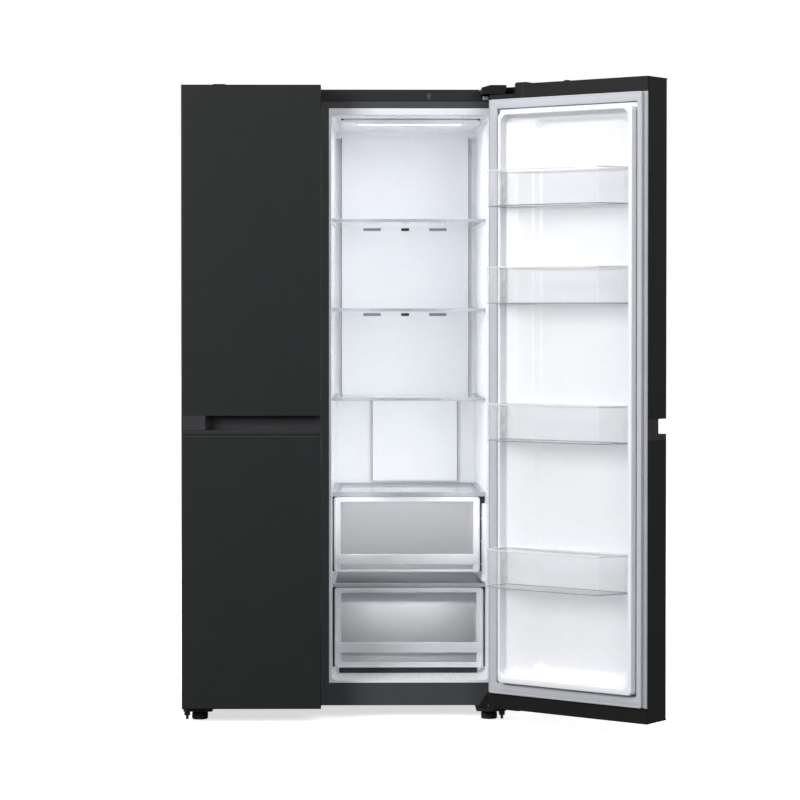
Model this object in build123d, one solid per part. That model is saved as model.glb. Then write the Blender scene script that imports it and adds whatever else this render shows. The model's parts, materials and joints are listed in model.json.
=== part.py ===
from build123d import *
import math
import os

# A side by side refrigerator: freezer behind the left door, fresh food behind the right one.
# X points right, Y into the cabinet from the closed doors' front plane, Z up from the floor, in mm.
# The fresh food door is modelled swung open; every other moving piece is modelled closed.

# Overall sizes
WIDTH = 913.0
DEPTH = 735.0
CABINET_TOP = 1778.0
CABINET_BOTTOM = 34.0
CABINET_FRONT = 114.0
COVER_TOP = 1790.0
HALF = WIDTH / 2
SHEET = 1.2

# Doors
DOOR_THICK = 102.4
DOOR_BOTTOM = 41.0
DOOR_TOP = 1787.0
FRIDGE_DOOR_WIDTH = 516.0
FREEZER_DOOR_WIDTH = 390.3
DOOR_OPEN_DEG = 142.5
CAP_HEIGHT_TOP = 41.0
CAP_HEIGHT_BOTTOM = 43.0
LIP_BOTTOM = 806.0
POCKET_BOTTOM = 822.0
POCKET_TOP = 863.0
POCKET_DEPTH = 44.0
GASKET_THICK = 11.2
SKIN_BEND = 4.0
DIKE_HEIGHT = 30.0
LINER_SEAT = 2.4
CAP_PLATE = 3.0
CAP_WALL = 3.0

# A door's raised ring and recess, as insets from the hinge side and the free side, and heights
RING_SIDES = (48.0, 30.0)
RING_HEIGHTS = (117.0, 1708.0)
RECESS_SIDES = (60.0, 46.0)
RECESS_HEIGHTS = (137.0, 1698.0)
RECESS_DEPTH = 12.0

# Hinge axis, as insets from the door's side and front
HINGE_INSET = 12.6
HINGE_Y = 54.3
HINGE_X = HALF - HINGE_INSET
PIN_RADIUS = 5.0
RUNNING_GAP = 0.06

# Notch in the door's top corner that the top hinge works in
NOTCH_LENGTH = 87.0
NOTCH_FLOOR = 1760.0
NOTCH_WALL = 22.0

# Compartments: flange rectangles and inner openings at the cabinet's front, and the liners' draft
FLANGE_BOTTOM = 98.6
FLANGE_TOP = 1730.2
LINER_BOTTOM = 103.5
LINER_TOP = 1713.5
FRIDGE_FLANGE = (-44.2, 416.0)
FRIDGE_INSIDE = (-39.7, 410.7)
FREEZER_FLANGE = (-416.0, -82.0)
FREEZER_INSIDE = (-411.0, -87.0)
LINER_BACK = 655.0
LINER_WALL = 2.0
DRAFT_DEG = 1.2
STEP_FRONT = 440.0
STEP_TOP = 290.0

# Machine compartment, low at the back
MACHINE_FRONT = 470.0
MACHINE_TOP = 255.0
BASE_BOTTOM = 46.0
BASE_TOP = 48.0

# Plastic walls, glass, and the gap beside anything that slides or lifts out
PLASTIC = 3.0
GLASS = 5.0
SIDE_GAP = 2.0

# Shelves and drawers in the fresh food compartment
SHELF_FRONT = 235.0
SHELF_TRIM_DEPTH = 12.0
SHELF_TOPS = {"top": 1420.0, "middle": 1162.0, "lower": 904.0}
SHELF_BACK = 636.0
LID_TOP = 633.0
DIVIDER_TOP = 368.0
UPPER_CRISPER = (-31.0, 391.0, 401.0, 619.0)
LOWER_CRISPER = (-29.0, 401.0, 125.0, 356.0)
UPPER_BAND = (424.0, 453.0)
LOWER_BAND = (168.5, 197.4)
FRONT_THICK = 18.0
FRONT_BORDER = 14.0
RAIL_DEPTH = 15.0
LID_FRAME = 13.0
LID_EDGE = 12.0
LID_LEDGE = 8.0
LID_RAIL = 6.0
DIVIDER_THICK = 10.0

# Duct and roof panels
DUCT_FRONT = 640.0
DUCT_BACK = 652.0
DUCT_STEP = 897.0
OUTLET_HEIGHTS = (1399.0, 1141.0)
OUTLETS = ((57.0, 110.0), (172.0, 196.0), (257.0, 310.0))
ROOF_SIDES = (-10.0, 391.0)
ROOF_BOTTOM = 1698.0
ROOF_TOP = 1703.5
LAMP_SIDES = (36.0, 340.0)
LAMP_FRONT = 250.0
LAMP_BACK = 335.0

# Freezer
FREEZER_SHELF_TOPS = (605.0, 865.0, 1130.0, 1400.0)
EVAPORATOR_FAN = (-249.0, 1000.0)
COVER_FRONT = 556.0
COVER_THICK = 4.0
FREEZER_FRONT = 245.0
FREEZER_DRAWERS = {"upper": (545.0, 328.0, 590.0), "lower": (430.0, 112.0, 304.0)}

# Door baskets, as (bottom, top) heights
FRIDGE_BASKETS = ((392.0, 498.0), (797.0, 900.0), (1175.0, 1277.0), (1443.0, 1544.0))
FREEZER_BASKETS = ((260.0, 360.0), (560.0, 660.0), (900.0, 1000.0), (1240.0, 1340.0))

# Feet and rollers
FOOT_X = 410.0
FOOT_Y = 95.0
FOOT_RADIUS = 23.0
PAD_TOP = 20.0
STEM_RADIUS = 5.0
ROLLER_X = 380.0
ROLLER_Y = 655.0
ROLLER_RADIUS = 20.0
AXLE_RADIUS = 4.0

# Hinge plates and screws
PLATE = 4.0
HOOD_LOW = 1764.0
HINGE_SHELF_BOTTOM = 28.0
HINGE_FLANGE_FRONT = 108.0
TOP_SCREWS = ((408.0, 140.0), (408.0, 172.0), (438.0, 160.0))
BOTTOM_SCREWS_X = (414.0, 444.0)
BOTTOM_SCREWS_Z = 62.0
HEAD_RADIUS = 5.5
SHANK_RADIUS = 2.5
STRIP_BOTTOM = 1751.0
STRIP_TOP = 1783.0
STRIP_THICK = 3.0

# Fans
FAN_SHAFT = 3.0
FAN_GAP = 0.05
CONDENSER_FAN_X = 48.0
CONDENSER_FAN_Y = 600.0
CONDENSER_FAN_Z = 145.0
FAN_WIDTH = 20.0
MOTOR_RADIUS = 22.0

# The origin lies on the floor at the centre of the closed refrigerator's footprint
ORIGIN_Y = DEPTH / 2


def block(x0, x1, y0, y1, z0, z1):
    """A box between two opposite corners."""
    centre = Pos((x0 + x1) / 2, (y0 + y1) / 2, (z0 + z1) / 2)
    return centre * Box(x1 - x0, y1 - y0, z1 - z0)


def rod(x, y, z0, z1, radius):
    """An upright cylinder between two heights."""
    return Pos(x, y, (z0 + z1) / 2) * Cylinder(radius, z1 - z0)


def rod_along_y(x, z, y0, y1, radius):
    """A cylinder that runs front to back."""
    return Pos(x, (y0 + y1) / 2, z) * Rot(90, 0, 0) * Cylinder(radius, y1 - y0)


def rod_along_x(y, z, x0, x1, radius):
    """A cylinder that runs left to right."""
    return Pos((x0 + x1) / 2, y, z) * Rot(0, 90, 0) * Cylinder(radius, x1 - x0)


def plan(points, z0, z1):
    """A prism on a plan outline, given as (x, y) points."""
    outline = make_face(Polyline(*points, close=True))
    return Pos(0, 0, z0) * extrude(outline, z1 - z0)


def elevation(points, y0, y1):
    """A prism on a front outline, given as (x, z) points."""
    outline = make_face(Polyline(*[(x, y0, z) for x, z in points], close=True))
    return extrude(outline, y1 - y0, dir=(0, 1, 0))


def mirrored(shape):
    """The same piece on the other side of the cabinet."""
    return mirror(shape, about=Plane.YZ)


def join(pieces):
    """Pieces fused into one."""
    whole = pieces[0]
    for piece in pieces[1:]:
        whole = whole + piece
    return whole


def group(pieces):
    """Separate solids that share one node."""
    return Compound([solid for piece in pieces for solid in piece.solids()])


def soften(solid, axis, radius):
    """Rounds every edge that runs along one axis."""
    return fillet(solid.edges().filter_by(axis), radius)


# ---------------------------------------------------------------- compartments


def inset_at(y):
    """How far the drafted walls have closed in at a depth."""
    return math.tan(math.radians(DRAFT_DEG)) * (y - CABINET_FRONT)


def drafted(span, grow, step_front, step_top):
    """A compartment's space, closing in towards the back and stepped over the machine compartment."""
    x0, x1 = span[0] - grow, span[1] + grow
    z0, z1 = LINER_BOTTOM - grow, LINER_TOP + grow
    depth = LINER_BACK + grow - CABINET_FRONT
    front = Plane(origin=((x0 + x1) / 2, CABINET_FRONT, (z0 + z1) / 2), x_dir=(1, 0, 0), z_dir=(0, 1, 0))
    space = extrude(front * Rectangle(x1 - x0, z1 - z0), depth, taper=DRAFT_DEG)
    return space - block(x0 - 1, x1 + 1, step_front, LINER_BACK + 9, z0 - 1, step_top)


def liner_inside(span):
    return drafted(span, 0.0, STEP_FRONT, STEP_TOP)


def liner_outside(span):
    return drafted(span, LINER_WALL, STEP_FRONT + LINER_WALL, STEP_TOP - LINER_WALL)


def wall_ribs(span, tops, y0, y1):
    """Support ribs on both side walls, each under a shelf."""
    reach = 6.0
    height = 8.0
    ribs = []
    for top in tops:
        slab = block(span[0] - LINER_WALL, span[1] + LINER_WALL, y0, y1, top - height, top)
        ribs.append(slab - fitted_plate(span, reach, y0 - 1, y1 + 1, top - height - 1, top + 1))
    return ribs


def liner(span, flange, ribs):
    """A thin moulded compartment with a front flange and support ribs."""
    outside = liner_outside(span)
    rim = block(flange[0], flange[1], CABINET_FRONT, CABINET_FRONT + 2, FLANGE_BOTTOM, FLANGE_TOP)
    shell = outside + rim - liner_inside(span)
    return join([shell] + [rib & outside for rib in ribs])


def fridge_liner():
    tops = [top - GLASS for top in SHELF_TOPS.values()] + [LID_TOP - LID_FRAME, DIVIDER_TOP - DIVIDER_THICK]
    ribs = wall_ribs(FRIDGE_INSIDE, tops, 262.0, 628.0)
    rail = block(396.0, FRIDGE_INSIDE[1] + LINER_WALL, 250.0, 630.0, 372.0, 600.0)
    return liner(FRIDGE_INSIDE, FRIDGE_FLANGE, ribs + [rail])


def freezer_liner():
    tops = [top - GLASS for top in FREEZER_SHELF_TOPS] + [FREEZER_DRAWERS["upper"][1]]
    ribs = wall_ribs(FREEZER_INSIDE, tops, 262.0, 540.0)
    return liner(FREEZER_INSIDE, FREEZER_FLANGE, ribs)


def fitted_plate(span, gap, y0, y1, z0, z1):
    """A plate that follows the drafted side walls."""
    near = inset_at(y0) + gap
    far = inset_at(y1) + gap
    left, right = span
    return plan([(left + near, y0), (right - near, y0), (right - far, y1), (left + far, y1)], z0, z1)


# ---------------------------------------------------------------- cabinet


def cabinet_shell():
    outside = block(-HALF, HALF, CABINET_FRONT, DEPTH, CABINET_BOTTOM, CABINET_TOP)
    inner = HALF - SHEET
    return outside - block(-inner, inner, 0, DEPTH + 9, 0, CABINET_TOP - SHEET)


def front_frame():
    inner = HALF - SHEET
    face = block(-inner, inner, CABINET_FRONT, CABINET_FRONT + 2, CABINET_BOTTOM, CABINET_TOP - SHEET)
    for x0, x1 in (FRIDGE_FLANGE, FREEZER_FLANGE):
        face -= block(x0, x1, 0, DEPTH, FLANGE_BOTTOM, FLANGE_TOP)
    return face


def back_panel():
    inner = HALF - SHEET
    return block(-inner, inner, DEPTH - SHEET, DEPTH, MACHINE_TOP, CABINET_TOP - SHEET)


def cabinet_foam():
    inner = HALF - SHEET
    back = DEPTH - SHEET
    fill = block(-inner, inner, CABINET_FRONT + 2, back, BASE_TOP, CABINET_TOP - SHEET)
    fill -= block(-inner, inner, MACHINE_FRONT, DEPTH, 0, MACHINE_TOP)
    return fill - liner_outside(FRIDGE_INSIDE) - liner_outside(FREEZER_INSIDE)


def base_plate():
    inner = HALF - SHEET
    return block(-inner, inner, CABINET_FRONT + 2, DEPTH - PLASTIC, BASE_BOTTOM, BASE_TOP)


def machine_room_cover():
    """A pressed cover with rows of air slots and the mains cord's gland."""
    inner = HALF - SHEET
    front = DEPTH - PLASTIC
    cover = block(-inner, inner, front, DEPTH, BASE_TOP + 2, MACHINE_TOP - 0.5)
    slot_centre, slot_reach, slot_height = 230.0, 130.0, 8.0
    for centre in (-slot_centre, slot_centre):
        for row in range(6):
            z = 90.0 + 22.0 * row
            cover -= block(centre - slot_reach, centre + slot_reach, front - 1, DEPTH + 1, z, z + slot_height)
    gland_x, gland_z, gland_length = 30.0, 200.0, 9.0
    gland = rod_along_y(gland_x, gland_z, DEPTH, DEPTH + gland_length, 11.0)
    return cover + gland - rod_along_y(gland_x, gland_z, DEPTH, DEPTH + gland_length + 1, 4.5)


def top_cover():
    """The strip over the doors' top edge and the low plate behind it."""
    reach = 383.0
    front = CABINET_FRONT - STRIP_THICK
    strip = block(-HALF, HALF, front, CABINET_FRONT, STRIP_BOTTOM, CABINET_TOP - 0.5)
    rise = block(-reach, reach, front, CABINET_FRONT, STRIP_BOTTOM, STRIP_TOP)
    plate = block(-reach, reach, front, 190.0, CABINET_TOP, STRIP_TOP)
    return strip + rise + plate


# ---------------------------------------------------------------- hinges and supports


def top_hinge():
    """Right-hand top hinge: a flat plate on the cabinet's top with its pin pointing down."""
    top = CABINET_TOP + PLATE
    side, bend = 449.0, 128.0
    foot = block(397.0, side, bend, 184.0, CABINET_TOP, top)
    arm = block(428.0, side, HINGE_Y, bend, CABINET_TOP, top)
    eye = rod(HINGE_X, HINGE_Y, CABINET_TOP, top, 10.0)
    pin = rod(HINGE_X, HINGE_Y, 1738.0, top, PIN_RADIUS)
    return foot + arm + eye + pin


def hinge_cover():
    """Right-hand cover: a hood with a sloping inner side, over the hinge plate and its screws."""
    low, roof = CABINET_TOP, COVER_TOP - 2.4
    inner, outer, front, back = 385.0, 452.0, 36.0, 190.0
    disc, bore, wall = 12.0, 10.4, 3.0
    outline = [(inner, low), (inner, STRIP_TOP), (410.0, COVER_TOP), (outer, COVER_TOP), (outer, low)]
    hollow = [(388.0, low), (388.0, STRIP_TOP - 1.5), (411.0, roof), (450.0, roof), (450.0, low)]
    hood = elevation(outline, front, back) + rod(HINGE_X, HINGE_Y, low, COVER_TOP, disc)
    hood += block(inner, outer, front, 110.5, HOOD_LOW, low) + rod(HINGE_X, HINGE_Y, HOOD_LOW, low, disc)
    hood -= elevation(hollow, front + wall, back - wall) + rod(HINGE_X, HINGE_Y, low - 1, roof, bore)
    hood -= block(388.0, 450.0, front + wall, 107.5, HOOD_LOW - 1, low + 1)
    hood -= rod(HINGE_X, HINGE_Y, HOOD_LOW - 1, low, bore)
    return hood - block(425.0, 450.0, 100.0, 111.0, low - 3, low + PLATE + 0.5)


def bottom_hinge():
    """Right-hand bottom hinge: a shelf under the cabinet, an upright flange, and the pin with its nut."""
    shelf = block(372.0, 455.0, 36.0, 200.0, HINGE_SHELF_BOTTOM, CABINET_BOTTOM)
    shelf = fillet(shelf.edges().filter_by(Axis.Z).group_by(Axis.Y)[0], 10.0)
    low, high = CABINET_BOTTOM, 74.0
    outline = [(385.0, low), (385.0, low + 6), (408.0, high), (452.0, high), (452.0, low)]
    flange = elevation(outline, HINGE_FLANGE_FRONT, CABINET_FRONT)
    pin = rod(HINGE_X, HINGE_Y, HINGE_SHELF_BOTTOM, 64.0, PIN_RADIUS)
    collar = rod(HINGE_X, HINGE_Y, low, DOOR_BOTTOM - 0.4, 10.0)
    nut_bottom = 16.0
    nut = Pos(HINGE_X, HINGE_Y, nut_bottom) * extrude(RegularPolygon(8.6, 6), HINGE_SHELF_BOTTOM - nut_bottom)
    tip = rod(HINGE_X, HINGE_Y, 5.5, nut_bottom, 4.0)
    hole = rod(FOOT_X, FOOT_Y, PAD_TOP, 40.0, STEM_RADIUS + RUNNING_GAP)
    return shelf + flange + pin + collar + nut + tip - hole


def hinge_screws():
    """Right-hand screws: three in the top hinge plate and two in the bottom hinge's flange."""
    screws = []
    plate_top = CABINET_TOP + PLATE
    for x, y in TOP_SCREWS:
        head = rod(x, y, plate_top, plate_top + 3, HEAD_RADIUS)
        screws.append(head + rod(x, y, CABINET_TOP - 14, plate_top, SHANK_RADIUS))
    face = HINGE_FLANGE_FRONT
    for x in BOTTOM_SCREWS_X:
        head = rod_along_y(x, BOTTOM_SCREWS_Z, face - 2.4, face, HEAD_RADIUS)
        screws.append(head + rod_along_y(x, BOTTOM_SCREWS_Z, face, face + 20, SHANK_RADIUS))
    return screws


def leveling_foot():
    """Right-hand foot: a ribbed pad with a threaded stem."""
    pad = rod(FOOT_X, FOOT_Y, 0.0, PAD_TOP, FOOT_RADIUS)
    pad = chamfer(pad.edges().filter_by(GeomType.CIRCLE), 2.5)
    flutes, flute_radius = 12, 3.0
    reach = FOOT_RADIUS + 1.2
    for turn in range(flutes):
        angle = math.tau * turn / flutes
        x = FOOT_X + reach * math.cos(angle)
        y = FOOT_Y + reach * math.sin(angle)
        pad -= rod(x, y, 3.0, PAD_TOP + 1, flute_radius)
    return pad + rod(FOOT_X, FOOT_Y, PAD_TOP, 38.0, STEM_RADIUS)


def roller():
    """Right-hand rear roller."""
    half = 11.0
    wheel = rod_along_x(ROLLER_Y, ROLLER_RADIUS, ROLLER_X - half, ROLLER_X + half, ROLLER_RADIUS)
    bore = AXLE_RADIUS + RUNNING_GAP
    return wheel - rod_along_x(ROLLER_Y, ROLLER_RADIUS, ROLLER_X - half - 1, ROLLER_X + half + 1, bore)


def roller_bracket():
    """Right-hand roller fork with its axle."""
    thick = 3.0
    low = BASE_BOTTOM - thick
    fork = [block(ROLLER_X - 25, ROLLER_X + 25, ROLLER_Y - 25, ROLLER_Y + 25, low, BASE_BOTTOM)]
    for x in (ROLLER_X - 15, ROLLER_X + 12):
        fork.append(block(x, x + thick, ROLLER_Y - 13, ROLLER_Y + 13, 10.0, low))
    fork.append(rod_along_x(ROLLER_Y, ROLLER_RADIUS, ROLLER_X - 16, ROLLER_X + 16, AXLE_RADIUS))
    return join(fork)


# ---------------------------------------------------------------- cooling system


def compressor():
    """The sealed pot on its feet, with a terminal box and three pipe stubs."""
    x, y = -250.0, 600.0
    pot = fillet(rod(x, y, 66.0, 222.0, 78.0).edges().filter_by(GeomType.CIRCLE), 34.0)
    feet = block(x - 95, x + 95, y - 60, y + 60, 58.0, 72.0)
    feet = fillet(feet.edges().filter_by(Axis.Z), 18.0)
    pads = [rod(x + sx * 78, y + sy * 42, BASE_TOP, 58.0, 12.0) for sx in (-1, 1) for sy in (-1, 1)]
    box = block(x + 70, x + 104, y - 30, y + 30, 110.0, 170.0)
    stubs = [rod(x + dx, y + dy, 190.0, 232.0, 4.0) for dx, dy in ((-30, -30), (30, -34))]
    return join([pot, feet, box] + pads + stubs)


def finned_coil(x0, x1, y0, y1, z0, z1, fins, rows, columns, radius):
    """A heat exchanger: thin upright fins on straight tubes that run left to right."""
    pieces = []
    pitch = (x1 - x0 - 20.0) / (fins - 1)
    for row in range(rows):
        for column in range(columns):
            z = z0 + (z1 - z0) * (row + 0.5) / rows
            y = y0 + (y1 - y0) * (column + 0.5) / columns
            pieces.append(rod_along_x(y, z, x0, x1, radius))
    for fin in range(fins):
        x = x0 + 10.0 + pitch * fin
        pieces.append(block(x - 0.6, x + 0.6, y0, y1, z0, z1))
    return join(pieces)


def condenser():
    """The condenser block, its end plates that stand on the base, and the hot gas pipe."""
    coil = finned_coil(104.0, 396.0, 510.0, 690.0, 72.0, 216.0, 15, 4, 3, 4.5)
    ends = [block(x, x + 2, 505.0, 695.0, BASE_TOP, 220.0) for x in (102.0, 396.0)]
    corners = [(-220, 566, 232), (-220, 566, 244), (90, 566, 244), (90, 566, 206), (102, 566, 206)]
    path = FilletPolyline(*corners, radius=8.5)
    pipe = sweep(Plane(origin=path @ 0, z_dir=path % 0) * Circle(3.0), path=path)
    return join([coil] + ends + [pipe])


def drain_pan():
    """A shallow tray between the condenser's end plates."""
    tray = block(106.0, 394.0, 500.0, 700.0, BASE_TOP + 2, 68.0)
    return tray - block(109.0, 391.0, 503.0, 697.0, BASE_TOP + 5, 69.0)


def fan_wheel(blades, tip, hub, width):
    """Blades on a bored hub, turning about Z through the origin."""
    body = Cylinder(hub, width)
    for turn in range(blades):
        blade = Pos((tip + hub - 3) / 2, 0, 0) * Rot(28, 0, 0) * Box(tip - hub + 3, 26.0, 1.8)
        body += Rot(0, 0, 360.0 * turn / blades) * blade
    body &= Cylinder(tip, width)
    return body - Cylinder(FAN_SHAFT + FAN_GAP, width + 2)


def condenser_fan():
    wheel = fan_wheel(5, 62.0, 18.0, FAN_WIDTH)
    return Pos(CONDENSER_FAN_X + 10, CONDENSER_FAN_Y, CONDENSER_FAN_Z) * Rot(0, 90, 0) * wheel


def evaporator_fan():
    x, z = EVAPORATOR_FAN
    return Pos(x, 600.0, z) * Rot(90, 0, 0) * fan_wheel(5, 58.0, 18.0, FAN_WIDTH)


def fan_motors():
    """Two motors with their shafts: one on a post in the machine room, one on the freezer's back wall."""
    y, z = CONDENSER_FAN_Y, CONDENSER_FAN_Z
    face = CONDENSER_FAN_X - 4
    lower = rod_along_x(y, z, face - 32, face, MOTOR_RADIUS) + rod_along_x(y, z, face, face + 24, FAN_SHAFT)
    lower += block(20.0, 36.0, y - 8, y + 8, BASE_TOP, z - 15)
    lower += block(14.0, 42.0, y - 25, y + 25, BASE_TOP, BASE_TOP + 3)
    x, z = EVAPORATOR_FAN
    face = 614.0
    upper = rod_along_y(x, z, face, LINER_BACK, MOTOR_RADIUS) + rod_along_y(x, z, face - 24, face, FAN_SHAFT)
    return group([lower, upper])


def evaporator():
    return finned_coil(-385.0, -113.0, 575.0, 640.0, 330.0, 560.0, 15, 5, 2, 4.5)


def evaporator_cover():
    """The freezer's rear panel, with a slotted circle before the fan and return slots low down."""
    x, z = EVAPORATOR_FAN
    y0, y1 = COVER_FRONT, COVER_FRONT + COVER_THICK
    panel = fitted_plate(FREEZER_INSIDE, 1.0, y0, y1, STEP_TOP + 2, 1690.0)
    disc = rod_along_y(x, z, y0 - 1, y1 + 1, 56.0)
    for row in range(6):
        low = z - 46.0 + 16.0 * row
        panel -= disc & block(x - 60, x + 60, y0 - 1, y1 + 1, low, low + 10)
    for column in range(5):
        centre = x - 96.0 + 48.0 * column
        panel -= block(centre - 16, centre + 16, y0 - 1, y1 + 1, 306.0, 314.0)
    return panel


# ---------------------------------------------------------------- fresh food compartment


def air_duct_panel():
    """The rear duct: wide above the lower shelf, narrower below, with outlets under two shelves."""
    wide = block(-9.6, 377.0, DUCT_FRONT, DUCT_BACK, DUCT_STEP, 1690.0)
    narrow = block(84.0, 343.0, DUCT_FRONT, DUCT_BACK, 640.0, DUCT_STEP)
    panel = wide + narrow
    for z in OUTLET_HEIGHTS:
        for x0, x1 in OUTLETS:
            panel -= block(x0, x1, DUCT_FRONT - 1, DUCT_BACK - 4, z, z + 8.5)
    return panel


def ceiling_panel():
    """The roof panel with a lip along its front edge and a window for the lamp."""
    panel = block(*ROOF_SIDES, SHELF_FRONT, 560.0, ROOF_BOTTOM, ROOF_TOP)
    panel += block(*ROOF_SIDES, SHELF_FRONT, SHELF_FRONT + 3, ROOF_BOTTOM, ROOF_TOP + 7)
    return panel - block(*LAMP_SIDES, LAMP_FRONT, LAMP_BACK, ROOF_BOTTOM - 9, ROOF_TOP + 9)


def lamp_lens():
    gap = 0.3
    x0, x1 = LAMP_SIDES
    return block(x0 + gap, x1 - gap, LAMP_FRONT + gap, LAMP_BACK - gap, ROOF_BOTTOM - 2.5, ROOF_TOP)


def glass_shelf(top):
    front = SHELF_FRONT + SHELF_TRIM_DEPTH
    return fitted_plate(FRIDGE_INSIDE, SIDE_GAP, front, SHELF_BACK, top - GLASS, top)


def shelf_trim(top):
    """A front rail with a raised bead."""
    back = SHELF_FRONT + SHELF_TRIM_DEPTH
    rail = fitted_plate(FRIDGE_INSIDE, SIDE_GAP, SHELF_FRONT, back, top - GLASS - 2, top)
    return rail + fitted_plate(FRIDGE_INSIDE, SIDE_GAP, SHELF_FRONT, SHELF_FRONT + 4, top, top + 1.5)


def lid_plate(inset, z0, z1):
    """A plate inset equally all round from the crisper lid's outline."""
    back = 646.0
    return fitted_plate(FRIDGE_INSIDE, SIDE_GAP + inset, SHELF_FRONT + LID_RAIL + inset, back - inset, z0, z1)


def crisper_lid_glass():
    return lid_plate(LID_EDGE, LID_TOP - GLASS - 1, LID_TOP - 1)


def crisper_lid_frame():
    """A frame around the lid glass with a ledge below it and a deep front rail."""
    frame = fitted_plate(FRIDGE_INSIDE, SIDE_GAP, SHELF_FRONT, 646.0, LID_TOP - LID_FRAME, LID_TOP)
    frame -= lid_plate(LID_EDGE, LID_TOP - GLASS - 1, LID_TOP + 1)
    return frame - lid_plate(LID_EDGE + LID_LEDGE, LID_TOP - LID_FRAME - 1, LID_TOP)


def drawer_divider():
    """The shelf between the two crispers, with a bright front rail."""
    low = DIVIDER_TOP - DIVIDER_THICK
    joint = SHELF_FRONT + RAIL_DEPTH
    rail = fitted_plate(FRIDGE_INSIDE, SIDE_GAP, SHELF_FRONT, joint, low, DIVIDER_TOP)
    return rail + fitted_plate(FRIDGE_INSIDE, SIDE_GAP, joint, SHELF_BACK, low, DIVIDER_TOP - 4)


def crisper_front(size, band):
    """A drawer front: a frame, a thin pane set back in it, and a grip band across."""
    x0, x1, z0, z1 = size
    front = block(x0, x1, SHELF_FRONT, SHELF_FRONT + FRONT_THICK, z0, z1)
    pane = SHELF_FRONT + FRONT_THICK - 4.0
    left, right = x0 + FRONT_BORDER, x1 - FRONT_BORDER
    openings = ((z0 + FRONT_BORDER - 4, band[0]), (band[1], z1 - FRONT_BORDER))
    for low, high in openings:
        front -= block(left, right, SHELF_FRONT - 1, pane, low, high)
    return front - block(left, right, SHELF_FRONT + 6, pane, z0 + FRONT_BORDER, z1 - FRONT_BORDER)


def crisper_tub(size, back):
    """An open-topped tub behind a drawer front."""
    x0, x1, z0, z1 = size
    inset, radius = 10.0, 14.0
    floor = z0 + 4
    front = SHELF_FRONT + FRONT_THICK
    tub = block(x0 + inset, x1 - inset, front, back, floor, z1 - 3)
    tub = fillet(tub.edges().filter_by(Axis.Z).group_by(Axis.Y)[-1], radius)
    side = inset + PLASTIC
    space = block(x0 + side, x1 - side, front + PLASTIC, back - PLASTIC, floor + PLASTIC, z1)
    return tub - fillet(space.edges().filter_by(Axis.Z).group_by(Axis.Y)[-1], radius - PLASTIC)


# ---------------------------------------------------------------- freezer compartment


def freezer_shelf(top):
    return fitted_plate(FREEZER_INSIDE, SIDE_GAP, FREEZER_FRONT, COVER_FRONT - 4, top - GLASS, top)


def freezer_drawer(back, z0, z1):
    """An open-topped drawer with a grip slot under its front rim."""
    gap, front_thick = 12.0, 8.0
    x0 = FREEZER_INSIDE[0] + gap
    x1 = FREEZER_INSIDE[1] - gap
    y0 = FREEZER_FRONT
    body = block(x0, x1, y0, back, z0, z1)
    body -= block(x0 + PLASTIC, x1 - PLASTIC, y0 + front_thick, back - PLASTIC, z0 + PLASTIC, z1 + 1)
    return body - block(-300.0, -198.0, y0 - 1, y0 + 5, z1 - 40, z1 - 18)


# ---------------------------------------------------------------- doors, right-hinged and closed


def across(u0, u1, y0, y1, z0, z1):
    """A box in a door, with u measured from the hinge side's edge."""
    return block(HALF - u1, HALF - u0, y0, y1, z0, z1)


def hinge_notch(margin=0.0):
    """The space in the door's top corner that the top hinge works in."""
    low = NOTCH_FLOOR - margin
    return across(-9.0, NOTCH_LENGTH + margin, NOTCH_WALL - margin, DOOR_THICK + 9, low, DOOR_TOP + 9)


def door_core(width, y1, z0, z1):
    """The space inside the folded skin, with its rounded front edges."""
    core = across(SHEET, width - SHEET, SHEET, y1, z0, z1)
    return fillet(core.edges().filter_by(Axis.Z).group_by(Axis.Y)[0], SKIN_BEND - SHEET)


def door_skin(width, z0, z1):
    """A folded sheet: the front and both sides, with rounded front edges."""
    outside = across(0, width, 0, DOOR_THICK - LINER_SEAT, z0, z1)
    outside = fillet(outside.edges().filter_by(Axis.Z).group_by(Axis.Y)[0], SKIN_BEND)
    return outside - door_core(width, DOOR_THICK, z0 - 1, z1 + 1)


def door_skins(width):
    upper = door_skin(width, POCKET_TOP, DOOR_TOP - CAP_PLATE) - hinge_notch()
    lower = door_skin(width, DOOR_BOTTOM + CAP_PLATE, LIP_BOTTOM)
    return group([upper, lower])


def cap_fill(width):
    """The spaces inside the two end caps that the foam rises into."""
    near = SHEET + CAP_WALL
    back = DOOR_THICK - 5
    low = DOOR_BOTTOM + CAP_PLATE
    high = DOOR_TOP - CAP_PLATE
    pin_wall = 12.0
    top = across(near, width - near, near, back, DOOR_TOP - CAP_HEIGHT_TOP, high)
    top -= hinge_notch(CAP_WALL)
    top -= rod(HINGE_X, HINGE_Y, DOOR_TOP - 60, DOOR_TOP, pin_wall)
    bottom = across(near, width - near, near, back, low, DOOR_BOTTOM + CAP_HEIGHT_BOTTOM)
    bottom -= rod(HINGE_X, HINGE_Y, DOOR_BOTTOM, DOOR_BOTTOM + 60, pin_wall)
    return top, bottom


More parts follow.
